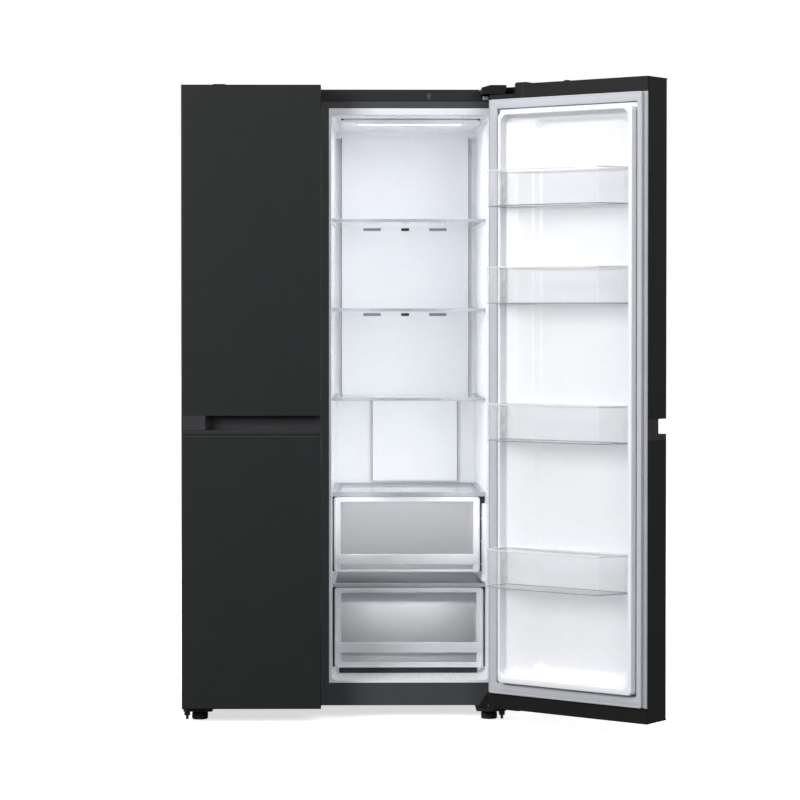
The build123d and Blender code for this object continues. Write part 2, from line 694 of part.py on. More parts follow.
def end_caps(width):
    """Moulded ends: a thin plate over the skin's edge and a deep skirt inside, bored for the pins."""
    top_fill, bottom_fill = cap_fill(width)
    bore = PIN_RADIUS + RUNNING_GAP
    low = DOOR_TOP - CAP_HEIGHT_TOP
    top = door_core(width, DOOR_THICK - LINER_SEAT, low, DOOR_TOP - CAP_PLATE)
    top += across(0.5, width - 0.5, DOOR_THICK - LINER_SEAT, DOOR_THICK, low, DOOR_TOP - CAP_PLATE)
    top += across(0, width, 0, DOOR_THICK, DOOR_TOP - CAP_PLATE, DOOR_TOP)
    top = top - top_fill - hinge_notch() - rod(HINGE_X, HINGE_Y, low - 1, DOOR_TOP, bore)
    high = DOOR_BOTTOM + CAP_HEIGHT_BOTTOM
    bottom = door_core(width, DOOR_THICK - LINER_SEAT, DOOR_BOTTOM + CAP_PLATE, high)
    bottom += across(0.5, width - 0.5, DOOR_THICK - LINER_SEAT, DOOR_THICK, DOOR_BOTTOM + CAP_PLATE, high)
    bottom += across(0, width, 0, DOOR_THICK, DOOR_BOTTOM, DOOR_BOTTOM + CAP_PLATE)
    bottom = bottom - bottom_fill - rod(HINGE_X, HINGE_Y, DOOR_BOTTOM - 1, high + 1, bore)
    return group([top, bottom])


def door_handle(width):
    """The grip moulding: a solid end by the hinge, a pocket that runs out at the free edge, and a lip."""
    back = POCKET_DEPTH + 4
    core = door_core(width, back, LIP_BOTTOM - 3, POCKET_TOP + 3)
    band = across(0, width, 0, back, LIP_BOTTOM, POCKET_TOP)
    grip = core + band
    for u0, u1 in ((0, SHEET), (width - SHEET, width)):
        grip += across(u0, u1, back, DOOR_THICK - LINER_SEAT, LIP_BOTTOM, POCKET_TOP)
    ramp_start, ramp_end = 67.0, 87.0
    outline = [
        (HALF - ramp_start, -1.0),
        (HALF - ramp_start, 0.0),
        (HALF - ramp_end, POCKET_DEPTH),
        (HALF - width - 9, POCKET_DEPTH),
        (HALF - width - 9, -1.0),
    ]
    grip -= plan(outline, POCKET_BOTTOM, POCKET_TOP)
    return grip - across(-1, width + 1, -1, 3.0, LIP_BOTTOM, POCKET_BOTTOM)


def dike(width, grow):
    """The raised ring on a door's inner face, as (outer block, recess inside it)."""
    u0, u1 = RING_SIDES[0] - grow, width - RING_SIDES[1] + grow
    z0, z1 = RING_HEIGHTS[0] - grow, RING_HEIGHTS[1] + grow
    outer = across(u0, u1, 90, DOOR_THICK + DIKE_HEIGHT + grow, z0, z1)
    u0, u1 = RECESS_SIDES[0] + grow, width - RECESS_SIDES[1] - grow
    z0, z1 = RECESS_HEIGHTS[0] + grow, RECESS_HEIGHTS[1] - grow
    recess = across(u0, u1, DOOR_THICK - RECESS_DEPTH + grow, 200, z0, z1)
    return soften(outer, Axis.Y, 10.0), soften(recess, Axis.Y, 22.0)


def door_foam(width):
    """The foam core: between skin and liner, cut away for the grip, and filling the raised ring."""
    low = DOOR_BOTTOM + CAP_HEIGHT_BOTTOM
    high = DOOR_TOP - CAP_HEIGHT_TOP
    core = door_core(width, DOOR_THICK - LINER_SEAT, low, high)
    ring, recess = dike(width, -LINER_SEAT)
    core = core + ring - recess
    core -= across(-9, width + 9, -9, POCKET_DEPTH + 4, LIP_BOTTOM - 3, POCKET_TOP + 3)
    for fill in cap_fill(width):
        core += fill
    core -= rod(HINGE_X, HINGE_Y, high - 20, high + 9, PIN_RADIUS + 1)
    return core


def door_liner(width, foam):
    """The moulded inner face: a flat border under the gasket, the raised ring and the recess."""
    low = DOOR_BOTTOM + CAP_HEIGHT_BOTTOM
    high = DOOR_TOP - CAP_HEIGHT_TOP
    border = across(0.5, width - 0.5, DOOR_THICK - LINER_SEAT, DOOR_THICK, low, high)
    ring, recess = dike(width, 0.0)
    u0, u1 = RECESS_SIDES[0] - 4, width - RECESS_SIDES[1] + 4
    z0, z1 = RECESS_HEIGHTS[0] - 4, RECESS_HEIGHTS[1] + 4
    backing = across(u0, u1, DOOR_THICK - RECESS_DEPTH - LINER_SEAT, DOOR_THICK, z0, z1)
    return border + ring + backing - recess - foam


def door_gasket(width):
    """A flat magnetic seal around the door's inner face."""
    y1 = DOOR_THICK + GASKET_THICK
    low = DOOR_BOTTOM + CAP_HEIGHT_BOTTOM + 0.5
    high = DOOR_TOP - CAP_HEIGHT_TOP
    ring = soften(across(10, width - 3.5, DOOR_THICK, y1, low, high), Axis.Y, 4.0)
    return ring - soften(across(34, width - 27.5, 0, 300, low + 30, high - 26), Axis.Y, 3.0)


def basket_outline(width, inset):
    """A basket's plan: narrow between the raised sides, wider and chamfered in front of them."""
    base = DOOR_THICK
    free = width - FRIDGE_DOOR_WIDTH
    deep = [(54, 32), (54, 90), (124, 118), (433 + free, 118), (463 + free, 32)]
    shallow = [(61, 2), (61, 33), (466 + free, 33), (468 + free, 2)]
    if inset:
        deep = [(57, 30), (57, 88), (125, 115), (431 + free, 115), (459 + free, 30)]
        shallow = [(64, 5), (64, 36), (462 + free, 36), (464 + free, 5)]
    return [[(HALF - u, base + v) for u, v in points] for points in (deep, shallow)]


def door_basket(width, low, high):
    """A clear open basket on the door."""
    outside = join([plan(points, low, high) for points in basket_outline(width, False)])
    inside = join([plan(points, low + PLASTIC, high + 1) for points in basket_outline(width, True)])
    return outside - inside


def door(width):
    """Every piece of a door but its baskets, by the last part of its node's name."""
    foam = door_foam(width)
    return {
        "skin": door_skins(width),
        "handle": door_handle(width),
        "foam": foam,
        "liner": door_liner(width, foam),
        "end_caps": end_caps(width),
        "gasket": door_gasket(width),
    }


def swung_open(shape):
    """A right-hinged piece turned about the hinge axis to the open pose."""
    return Pos(HINGE_X, HINGE_Y, 0) * Rot(0, 0, DOOR_OPEN_DEG) * Pos(-HINGE_X, -HINGE_Y, 0) * shape


# ---------------------------------------------------------------- assembly


def cabinet_nodes():
    screws = hinge_screws()
    screws += [mirrored(screw) for screw in screws]
    cutter = join(screws)
    hinges = top_hinge() - cutter
    lower_hinges = bottom_hinge() - cutter
    return {
        "cabinet_shell": cabinet_shell() - cutter,
        "front_frame": front_frame() - cutter,
        "back_panel": back_panel(),
        "cabinet_foam": cabinet_foam() - cutter,
        "base_plate": base_plate(),
        "fridge_liner": fridge_liner(),
        "freezer_liner": freezer_liner(),
        "top_cover": top_cover(),
        "machine_room_cover": machine_room_cover(),
        "top_hinges": group([hinges, mirrored(hinges)]),
        "bottom_hinges": group([lower_hinges, mirrored(lower_hinges)]),
        "hinge_covers": group([hinge_cover(), mirrored(hinge_cover())]),
        "hinge_screws": group(screws),
        "leveling_foot_right": leveling_foot(),
        "leveling_foot_left": mirrored(leveling_foot()),
        "rear_roller_right": roller(),
        "rear_roller_left": mirrored(roller()),
        "roller_brackets": group([roller_bracket(), mirrored(roller_bracket())]),
        "compressor": compressor(),
        "condenser": condenser(),
        "drain_pan": drain_pan(),
        "condenser_fan": condenser_fan(),
        "evaporator_fan": evaporator_fan(),
        "fan_motors": fan_motors(),
    }


def interior_nodes():
    nodes = {
        "evaporator": evaporator(),
        "evaporator_cover": evaporator_cover(),
        "air_duct_panel": air_duct_panel(),
        "ceiling_panel": ceiling_panel(),
        "lamp_lens": lamp_lens(),
        "shelf_trims": group([shelf_trim(top) for top in SHELF_TOPS.values()]),
        "crisper_lid_glass": crisper_lid_glass(),
        "crisper_lid_frame": crisper_lid_frame(),
        "drawer_divider": drawer_divider(),
        "crisper_upper_front": crisper_front(UPPER_CRISPER, UPPER_BAND),
        "crisper_upper_tub": crisper_tub(UPPER_CRISPER, 600.0),
        "crisper_lower_front": crisper_front(LOWER_CRISPER, LOWER_BAND),
        "crisper_lower_tub": crisper_tub(LOWER_CRISPER, 434.0),
        "freezer_shelves": group([freezer_shelf(top) for top in FREEZER_SHELF_TOPS]),
    }
    for name, size in FREEZER_DRAWERS.items():
        nodes["freezer_drawer_" + name] = freezer_drawer(*size)
    for name, top in SHELF_TOPS.items():
        nodes["glass_shelf_" + name] = glass_shelf(top)
    return nodes


def door_nodes():
    nodes = {}
    for name, shape in door(FRIDGE_DOOR_WIDTH).items():
        nodes["fridge_door_" + name] = swung_open(shape)
    for number, (low, high) in enumerate(FRIDGE_BASKETS, start=1):
        nodes[f"fridge_door_basket_{number}"] = swung_open(door_basket(FRIDGE_DOOR_WIDTH, low, high))
    for name, shape in door(FREEZER_DOOR_WIDTH).items():
        nodes["freezer_door_" + name] = mirrored(shape)
    baskets = [mirrored(door_basket(FREEZER_DOOR_WIDTH, low, high)) for low, high in FREEZER_BASKETS]
    nodes["freezer_door_baskets"] = group(baskets)
    return nodes


os.makedirs("parts", exist_ok=True)
for node, shape in {**cabinet_nodes(), **interior_nodes(), **door_nodes()}.items():
    export_step(Pos(0, -ORIGIN_Y, 0) * shape, f"parts/{node}.step")
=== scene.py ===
import json
import math

import bmesh
import bpy
from mathutils import Matrix, Vector


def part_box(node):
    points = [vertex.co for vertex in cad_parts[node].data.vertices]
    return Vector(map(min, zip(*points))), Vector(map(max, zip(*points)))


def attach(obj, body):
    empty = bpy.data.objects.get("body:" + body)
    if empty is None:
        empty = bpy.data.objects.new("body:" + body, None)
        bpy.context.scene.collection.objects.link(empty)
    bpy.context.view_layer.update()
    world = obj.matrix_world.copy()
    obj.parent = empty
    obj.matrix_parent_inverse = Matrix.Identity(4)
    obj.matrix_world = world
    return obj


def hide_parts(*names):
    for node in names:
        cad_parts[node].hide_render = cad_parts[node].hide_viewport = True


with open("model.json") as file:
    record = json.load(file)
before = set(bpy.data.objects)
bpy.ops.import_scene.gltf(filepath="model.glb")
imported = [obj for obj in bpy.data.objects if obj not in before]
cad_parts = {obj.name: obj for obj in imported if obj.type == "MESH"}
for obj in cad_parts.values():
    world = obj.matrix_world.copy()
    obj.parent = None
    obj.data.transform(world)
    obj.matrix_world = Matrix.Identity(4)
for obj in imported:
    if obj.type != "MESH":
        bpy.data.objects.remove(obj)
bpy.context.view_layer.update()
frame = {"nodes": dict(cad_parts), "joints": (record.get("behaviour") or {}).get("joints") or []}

# The row frame is in metres: +X right, +Y to the back, +Z up, origin on the floor under the closed refrigerator.
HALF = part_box("cabinet_shell")[1].x
CABINET_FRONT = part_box("front_frame")[0].y
CABINET_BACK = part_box("cabinet_shell")[1].y
DOOR_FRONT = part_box("freezer_door_skin")[0].y
DOOR_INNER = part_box("freezer_door_end_caps")[1].y
DOOR_THICK = DOOR_INNER - DOOR_FRONT
DOOR_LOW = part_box("freezer_door_end_caps")[0].z
DOOR_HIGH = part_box("freezer_door_end_caps")[1].z
DOOR_WIDTH = {"fridge": 0.516, "freezer": 0.3903}
CAP_LOW = 0.043
CAP_HIGH = 0.041
LINER_SHEET = 0.002

# Sizes that several pieces share
SHELVES = ["glass_shelf_top", "glass_shelf_middle", "glass_shelf_lower"]
LINER_SIDE, LINER_FOOT, LINER_HEAD = 0.0048, 0.0049, 0.0167  # from a liner's flange in to its walls
LINER_CORNER, FLANGE_CORNER = 0.016, 0.001
DRAFT = math.tan(math.radians(1.2))  # how far moulded walls lean in over their depth
TUB_LIP, TUB_FLOOR, TUB_CORNER = 0.0008, 0.003, 0.014
OUTLET_FEET, OUTLET_HEIGHT = (1.399, 1.141), 0.0085

# ---- outlines and solids


def rounded(corners, radii, steps=6):
    """A closed outline whose corners are arcs, each of the same number of pieces."""
    outline = []
    count = len(corners)
    for index, corner in enumerate(corners):
        here = Vector(corner)
        back = (Vector(corners[index - 1]) - here).normalized()
        ahead = (Vector(corners[(index + 1) % count]) - here).normalized()
        turn = math.pi - back.angle(ahead)
        side = 1 if back.y * ahead.x - back.x * ahead.y > 0 else -1
        radius = radii[index]
        centre = here + (back + ahead).normalized() * radius / math.cos(turn / 2)
        spoke = here + back * radius * math.tan(turn / 2) - centre
        start = math.atan2(spoke.y, spoke.x)
        for step in range(steps + 1):
            angle = start + side * turn * step / steps
            outline.append(centre + radius * Vector((math.cos(angle), math.sin(angle))))
    return outline


def rectangle(low, high, radius, steps=6):
    """A rounded rectangle between two (a, b) corners."""
    corners = [(low[0], low[1]), (high[0], low[1]), (high[0], high[1]), (low[0], high[1])]
    return rounded(corners, [radius] * 4, steps)


def loft(bm, rings, closed=False):
    """Skins rings of equally many points. Ends are capped, or joined to each other when closed."""
    rows = [[bm.verts.new(point) for point in ring] for ring in rings]
    pairs = list(zip(rows, rows[1:]))
    if closed:
        pairs.append((rows[-1], rows[0]))
    else:
        bm.faces.new(rows[0])
        bm.faces.new(rows[-1])
    for low, high in pairs:
        for index in range(len(low)):
            following = (index + 1) % len(low)
            bm.faces.new((low[index], low[following], high[following], high[index]))


def brick(bm, low, high, radius=0.0008, segments=2):
    """A box with rounded edges."""
    low, high = Vector(low), Vector(high)
    made = bmesh.ops.create_cube(bm, size=1.0)["verts"]
    for vert in made:
        vert.co = Vector([low[i] + (vert.co[i] + 0.5) * (high[i] - low[i]) for i in range(3)])
    edges = list({edge for vert in made for edge in vert.link_edges})
    bmesh.ops.bevel(bm, geom=edges, offset=radius, segments=segments, profile=0.5, affect="EDGES")


def lift(outline, axis, value):
    """A flat outline's points in space, with a value put in as their X (0), Y (1) or Z (2)."""
    return [(*point[:axis], value, *point[axis:]) for point in outline]


def circle(place, radius, height, count):
    """Points round the Z axis of a place. The radius is a number, or a function of the angle."""
    points = []
    for index in range(count):
        angle = 2 * math.pi * index / count
        reach = radius(angle) if callable(radius) else radius
        points.append(place @ Vector((reach * math.cos(angle), reach * math.sin(angle), height)))
    return points


def turned(bm, profile, place, count=32, wave=None):
    """A solid of revolution from (radius, height) pairs, in a place. A wave scales its radius."""
    def reach(radius, height):
        return (lambda angle: radius * wave(angle, radius, height)) if wave else radius

    loft(bm, [circle(place, reach(radius, height), height, count) for radius, height in profile])


def piece(name, build, material, slot, body="cabinet", replaces=(), sharp=35.0):
    """A mesh made by build, that rides on a body and takes the place of CAD nodes."""
    bm = bmesh.new()
    build(bm)
    bmesh.ops.recalc_face_normals(bm, faces=bm.faces)
    for face in bm.faces:
        face.smooth = True
    for edge in bm.edges:
        edge.smooth = len(edge.link_faces) == 2 and edge.calc_face_angle() < math.radians(sharp)
    mesh = bpy.data.meshes.new(name)
    bm.to_mesh(mesh)
    bm.free()
    mesh.materials.append(material)
    obj = bpy.data.objects.new(name, mesh)
    bpy.context.scene.collection.objects.link(obj)
    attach(obj, body)
    if replaces:
        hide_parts(*replaces)
    return obj


def lofted(name, rings, *finish, closed=False, **settings):
    """A piece that is a single loft."""
    piece(name, lambda bm: loft(bm, rings, closed), *finish, **settings)


def hung(side):
    """A door's width, and the map that lifts outlines on it into the row frame.

    In the door's own frame u runs from the hinge side's edge and v out of its inner face."""
    joint = next(j for j in frame["joints"] if j["child"] == side + "_door")
    pivot = Vector(joint["pos_m"])
    turn = Matrix.Rotation(math.radians(-joint["range_deg"][0]), 3, "Z")

    def place(u, v, z):
        if side == "freezer":
            return Vector((u - HALF, DOOR_INNER + v, z))
        return pivot + turn @ (Vector((HALF - u, DOOR_INNER + v, z)) - pivot)

    return DOOR_WIDTH[side], lambda outline, axis, value: [place(*p) for p in lift(outline, axis, value)]


# ---- materials


def dial(node, **values):
    """Sets a node's inputs by their names, with _ for a space."""
    for name, value in values.items():
        node.inputs[name.replace("_", " ")].default_value = value


class Tree:
    """A node tree, with short names for making and joining its nodes."""

    def __init__(self, tree):
        self.tree = tree

    def node(self, kind, **values):
        made = self.tree.nodes.new("ShaderNode" + kind)
        dial(made, **values)
        return made

    def link(self, source, target):
        self.tree.links.new(source, target)

    def between(self, factor, low, high, source=(0.3, 0.7)):
        """A number that follows a factor from low to high."""
        ranged = self.node("MapRange", From_Min=source[0], From_Max=source[1], To_Min=low, To_Max=high)
        self.link(factor, ranged.inputs["Value"])
        return ranged.outputs["Result"]

    def mixed(self, factor, first, second, output):
        """Sends two shaders to the output, mixed by a factor."""
        mix = self.node("MixShader")
        self.link(factor, mix.inputs["Fac"])
        self.link(first.outputs[0], mix.inputs[1])
        self.link(second.outputs[0], mix.inputs[2])
        self.link(mix.outputs["Shader"], self.tree.nodes[output].inputs["Surface"])


class Look(Tree):
    """A material's node tree, with what the finishes below share."""

    def __init__(self, name):
        self.material = bpy.data.materials.new(name)
        self.material.use_nodes = True
        super().__init__(self.material.node_tree)
        self.base = self.tree.nodes["Principled BSDF"]
        self.coords = self.node("TexCoord").outputs["Object"]

    def noise(self, size, detail, stretch=(1, 1, 1)):
        """Noise whose features are about size metres across."""
        mapping = self.node("Mapping", Scale=stretch)
        self.link(self.coords, mapping.inputs["Vector"])
        texture = self.node("TexNoise", Scale=1.0 / size, Detail=detail)
        self.link(mapping.outputs["Vector"], texture.inputs["Vector"])
        return texture.outputs["Fac"]

    def colours(self, factor, low, high):
        """A colour that follows a factor from low to high."""
        ramp = self.node("ValToRGB")
        for stop, position, colour in zip(ramp.color_ramp.elements, (0.3, 0.7), (low, high)):
            stop.position = position
            stop.color = (*colour, 1)
        self.link(factor, ramp.inputs["Fac"])
        return ramp.outputs["Color"]

    def paint(self, colours, roughness):
        self.link(colours, self.base.inputs["Base Color"])
        self.link(roughness, self.base.inputs["Roughness"])

    def bump(self, height, strength, distance):
        bump = self.node("Bump", Strength=strength, Distance=distance)
        self.link(height, bump.inputs["Height"])
        self.link(bump.outputs["Normal"], self.base.inputs["Normal"])


def srgb(colour):
    """A colour given in 0 to 255 screen values, as linear light."""
    return tuple(((c / 255 + 0.055) / 1.055) ** 2.4 if c > 10 else c / 3294.6 for c in colour)


def shaded(colour, amount):
    return tuple(min(1.0, c * amount) for c in colour)


def moulded(name, colour, roughness, grain, depth, mottle=0.05, specular=0.5, metallic=0.0, coat=0.0,
            stretch=(1, 1, 1)):
    """A painted, moulded or metal surface: drifting colour, uneven gloss and a fine grain."""
    look = Look(name)
    colour = srgb(colour)
    fine = look.noise(grain, 3.0, stretch)
    broad = look.noise(0.09, 5.0)
    colours = look.colours(broad, shaded(colour, 1 - mottle), shaded(colour, 1 + mottle))
    look.paint(colours, look.between(fine, roughness - 0.05, roughness + 0.05))
    dial(look.base, Specular_IOR_Level=specular, Metallic=metallic, Coat_Weight=coat, Coat_Roughness=0.12)
    look.bump(fine, 0.35, depth)
    return look.material


def see_through(name, colour, roughness, face, edge, haze=0.0):
    """Clear or frosted plastic or glass: mostly open face on, and denser at grazing angles and edges."""
    look = Look(name)
    colour = srgb(colour)
    drift = look.noise(0.05, 3.0)
    look.paint(look.colours(drift, shaded(colour, 0.94), colour), look.between(drift, roughness, roughness + 0.06))
    dial(look.base, IOR=1.5)
    look.bump(look.noise(0.004, 2.0), 0.08 + haze, 0.0003)
    facing_away = look.node("LayerWeight", Blend=0.35).outputs["Facing"]
    clear = look.node("BsdfTransparent", Color=(*(c ** 0.12 for c in colour), 1))
    look.mixed(look.between(facing_away, face, edge, (0.0, 1.0)), clear, look.base, "Material Output")
    return look.material


def glowing(name, colour, strength):
    """A lit diffuser with a faint prismatic pattern."""
    look = Look(name)
    fine = look.noise(0.003, 2.0)
    look.paint(look.colours(fine, shaded(colour, 0.9), colour), look.between(fine, 0.35, 0.5))
    look.link(look.colours(fine, shaded(colour, 0.9), colour), look.base.inputs["Emission Color"])
    dial(look.base, Emission_Strength=strength)
    look.bump(fine, 0.2, 0.0004)
    return look.material


def galvanised(name, colour):
    """Zinc-coated sheet with its crystal spangle."""
    look = Look(name)
    colour = srgb(colour)
    cells = look.node("TexVoronoi", Scale=90.0)
    look.link(look.coords, cells.inputs["Vector"])
    tone = look.node("SeparateColor")
    look.link(cells.outputs["Color"], tone.inputs["Color"])
    spangle = look.colours(tone.outputs["Red"], shaded(colour, 0.86), shaded(colour, 1.1))
    look.paint(spangle, look.between(tone.outputs["Green"], 0.38, 0.5))
    dial(look.base, Metallic=0.85)
    look.bump(look.noise(0.002, 2.0), 0.15, 0.0002)
    return look.material


DOOR_PAINT = moulded("door_paint", (28, 30, 31), 0.52, 0.0009, 0.00006, 0.05, 0.28)
FRAME_PAINT = moulded("frame_paint", (67, 69, 72), 0.5, 0.0012, 0.00006, 0.05, 0.3)
CAP_PLASTIC = moulded("cap_plastic", (17, 17, 18), 0.55, 0.0007, 0.00012, 0.08, 0.2)
GRIP_PLASTIC = moulded("grip_plastic", (48, 48, 52), 0.45, 0.0007, 0.00010, 0.08, 0.35)
# painted highlight: the pale line on each door's lower skin top edge
EDGE_HIGHLIGHT_GREY = moulded("edge_highlight_grey", (66, 68, 70), 0.35, 0.0010, 0.00004, 0.05, 0.5)
HINGE_STEEL = moulded("hinge_steel", (24, 24, 25), 0.42, 0.0010, 0.00010, 0.1, 0.5)
LINER_WHITE = moulded("liner_white", (240, 241, 245), 0.28, 0.0030, 0.00002, 0.012, 0.5)
SEAL_GREY = moulded("seal_grey", (192, 194, 200), 0.6, 0.0020, 0.00003, 0.015, 0.35)
# dark seam lines on the duct, and painted shade on the bead inside each door seal
SEAM_AND_SHADE_GREY = moulded("seam_and_shade_grey", (112, 114, 118), 0.6, 0.0010, 0.00015, 0.05, 0.3)
SILVER = moulded("silver_trim", (170, 174, 181), 0.3, 0.0008, 0.00005, 0.04, 0.5, 0.35, 0.2, (0.05, 1, 1))
# dark sensor slots and roof seam; also painted shade on the strip under the lower crisper
SLOT_AND_SHADE_DARK = moulded("slot_and_shade_dark", (52, 54, 60), 0.7, 0.0010, 0.00010, 0.1, 0.3)
LOUVRE_GREY = moulded("louvre_grey", (150, 154, 166), 0.6, 0.0010, 0.00010, 0.05, 0.3)
BORDER_GREY = moulded("border_grey", (168, 170, 175), 0.5, 0.0010, 0.00005, 0.05, 0.35)
# painted shade: the dark sheet behind the crisper fronts, seen in the gaps round them
SHADE_FRAME_GREY = moulded("painted_shade_frame_grey", (52, 55, 60), 0.6, 0.0010, 0.00006, 0.08, 0.3)
LEDGE_PLASTIC = moulded("ledge_plastic", (33, 34, 36), 0.5, 0.0009, 0.00008, 0.05, 0.3)
TOP_PLASTIC = moulded("top_plastic", (30, 31, 32), 0.55, 0.0008, 0.00010, 0.06, 0.3)
# painted shade: the dark plate in the gap between the crispers
SHADE_PLATE_GREY = moulded("shade_plate_grey", (30, 33, 38), 0.3, 0.0010, 0.00004, 0.05, 0.5)
SWITCH_GREY = moulded("switch_grey", (66, 67, 69), 0.45, 0.0008, 0.00006, 0.05, 0.4)
PAD_GREY = moulded("pad_rubber", (158, 161, 167), 0.6, 0.0010, 0.00010, 0.04, 0.35)
FOAM = moulded("foam", (226, 204, 150), 0.85, 0.0030, 0.00080, 0.1, 0.3)
POT_BLACK = moulded("pot_black", (26, 26, 28), 0.25, 0.0040, 0.00010, 0.1, 0.5, 0.0, 0.4)
COIL = moulded("coil_metal", (196, 198, 202), 0.3, 0.0008, 0.00006, 0.08, 0.5, 0.9, 0.0, (1, 1, 0.1))
SCREW_STEEL = moulded("screw_steel", (150, 152, 156), 0.32, 0.0010, 0.00005, 0.1, 0.5, 0.95)
RUBBER = moulded("rubber", (38, 38, 40), 0.75, 0.0009, 0.00015, 0.12, 0.3)
PAN_GREY = moulded("pan_grey", (92, 93, 96), 0.55, 0.0010, 0.00010, 0.06, 0.4)
BACK_STEEL = moulded("back_steel", (118, 121, 124), 0.42, 0.0016, 0.00006, 0.05, 0.4, 0.2)
ZINC = galvanised("zinc_sheet", (168, 171, 174))
CLEAR = see_through("clear_plastic", (249, 250, 251), 0.05, 0.02, 0.34)
FROSTED = see_through("frosted_plastic", (243, 244, 248), 0.3, 0.55, 0.85, 0.1)
# painted highlight: the whiter rim along each basket's top
RIM_HIGHLIGHT_CLEAR = see_through("clear_rim_highlight", (250, 250, 252), 0.12, 0.55, 0.9)
# painted shade: the grey ring at each basket's foot
FOOT_SHADE_CLEAR = see_through("clear_foot_shade", (172, 173, 180), 0.2, 0.5, 0.9)
BAND = see_through("frosted_band", (238, 238, 243), 0.32, 0.62, 0.9, 0.1)
GLASS = see_through("shelf_glass", (240, 245, 245), 0.04, 0.05, 0.42)
LAMP = glowing("lamp_diffuser", (1.0, 1.0, 1.0), 5.0)

# ---- CAD nodes that stay

CAD_FINISH = {
    DOOR_PAINT: ["fridge_door_skin", "freezer_door_skin"],
    FRAME_PAINT: ["cabinet_shell", "front_frame"],
    TOP_PLASTIC: ["top_cover"],
    CAP_PLASTIC: ["fridge_door_end_caps", "freezer_door_end_caps", "hinge_covers",
                  "machine_room_cover", "condenser_fan", "evaporator_fan"],
    GRIP_PLASTIC: ["fridge_door_handle", "freezer_door_handle"],
    HINGE_STEEL: ["top_hinges", "bottom_hinges"],
    LINER_WHITE: ["ceiling_panel", "air_duct_panel", "evaporator_cover"],
    SILVER: ["shelf_trims", "crisper_lid_frame", "drawer_divider"],
    GLASS: SHELVES + ["crisper_lid_glass", "freezer_shelves"],
    LAMP: ["lamp_lens"],
    FOAM: ["cabinet_foam", "fridge_door_foam", "freezer_door_foam"],
    POT_BLACK: ["compressor"],
    COIL: ["condenser", "evaporator"],
    PAN_GREY: ["drain_pan", "fan_motors"],
    ZINC: ["roller_brackets"],
}
EDGE_WIDTH = {"fridge_door_skin": 0.0, "freezer_door_skin": 0.0, "condenser": 0.0, "evaporator": 0.0,
              "cabinet_foam": 0.0, "fridge_door_foam": 0.0, "freezer_door_foam": 0.0, "lamp_lens": 0.0003,
              "top_cover": 0.0012, "hinge_covers": 0.0012, "cabinet_shell": 0.0005}


def soften_edges(obj, width):
    """Rounds a CAD node's sharp edges, without touching its mesh."""
    weld = obj.modifiers.new("weld", "WELD")
    weld.merge_threshold = 1e-5
    flat = obj.modifiers.new("flat", "DECIMATE")
    flat.decimate_type = "DISSOLVE"
    flat.angle_limit = math.radians(0.5)
    bevel = obj.modifiers.new("bevel", "BEVEL")
    bevel.width = width
    bevel.segments = 2
    bevel.limit_method = "ANGLE"
    bevel.angle_limit = math.radians(40)
    obj.modifiers.new("normals", "WEIGHTED_NORMAL")


def finish_cad():
    for material, nodes in CAD_FINISH.items():
        for name in nodes:
            obj = frame["nodes"][name]
            for slot in obj.material_slots:
                slot.link = "OBJECT"
                slot.material = material
            width = EDGE_WIDTH.get(name, 0.0006)
            if width:
                soften_edges(obj, width)


# ---- compartments


def squared(value, low, high, outer_low, outer_high):
    """Moves a rounded mouth's coordinate out to the flange, whose corners are nearly square."""
    if value < (low + high) / 2:
        return outer_low + min(1.0, (value - low) / LINER_CORNER) * FLANGE_CORNER
    return outer_high - min(1.0, (high - value) / LINER_CORNER) * FLANGE_CORNER


def compartment(name, node):
    """A compartment's moulded liner: rounded corners, a step over the machine room and a flange."""
    low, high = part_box(node)
    x0, x1 = low.x + LINER_SIDE, high.x - LINER_SIDE
    z0, z1 = low.z + LINER_FOOT, high.z - LINER_HEAD
    front, back = low.y + LINER_SHEET, high.y - LINER_SHEET
    step_y, step_z = 0.0705, 0.292
    profile = [(front, z0), (step_y, z0 + DRAFT * (step_y - front)), (step_y, step_z), (back, step_z),
               (back, z1 - DRAFT * (back - front)), (front, z1)]

    def at_mouth(part):
        return all(abs(vert.co.y - front) < 1e-6 for vert in part.verts)

    def build(bm):
        loft(bm, [[(x + lean * (y - front), y, z) for y, z in profile] for x, lean in ((x0, DRAFT), (x1, -DRAFT))])
        inner = [edge for edge in bm.edges if not at_mouth(edge)]
        bmesh.ops.bevel(bm, geom=inner, offset=LINER_CORNER, segments=5, profile=0.5, affect="EDGES")
        bmesh.ops.delete(bm, geom=[face for face in bm.faces if at_mouth(face)], context="FACES")
        rim = [edge for edge in bm.edges if edge.is_boundary]
        grown = bmesh.ops.extrude_edge_only(bm, edges=rim)["geom"]
        for vert in [part for part in grown if isinstance(part, bmesh.types.BMVert)]:
            vert.co.x = squared(vert.co.x, x0, x1, low.x, high.x)
            vert.co.z = squared(vert.co.z, z0, z1, low.z, high.z)

    shell = piece(name, build, LINER_WHITE, "white_liner", replaces=[node]).modifiers.new("shell", "SOLIDIFY")
    shell.thickness = LINER_SHEET
    shell.offset = 1.0


def liner_wall(box, side, y):
    """Where a liner's left (-1) or right (1) wall lies at a depth."""
    low, high = box
    return (low.x + LINER_SIDE if side < 0 else high.x - LINER_SIDE) - side * DRAFT * (y - low.y)


def wall_ribs(name, node, tops, y1):
    """Moulded ledges along both side walls, one pair under each shelf."""
    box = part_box(node)
    y0, height, reach = -0.1055, 0.008, 0.007

    def build(bm):
        for top in tops:
            for side in (-1, 1):
                rings = []
                for y, shrink in ((y0, 0.5), (y0 + 0.006, 1.0), (y1 - 0.006, 1.0), (y1, 0.5)):
                    wall, out = liner_wall(box, side, y), reach * shrink
                    outline = [(-0.0012, top), (-0.0012, top - height), (out, top - height), (out, top)]
                    outline = rounded(outline, [0.0004, 0.0004, 0.0025 * shrink, 0.0012], 3)
                    rings.append([(wall - side * a, y, b) for a, b in outline])
                loft(bm, rings)

    piece(name, build, LINER_WHITE, "white_liner")


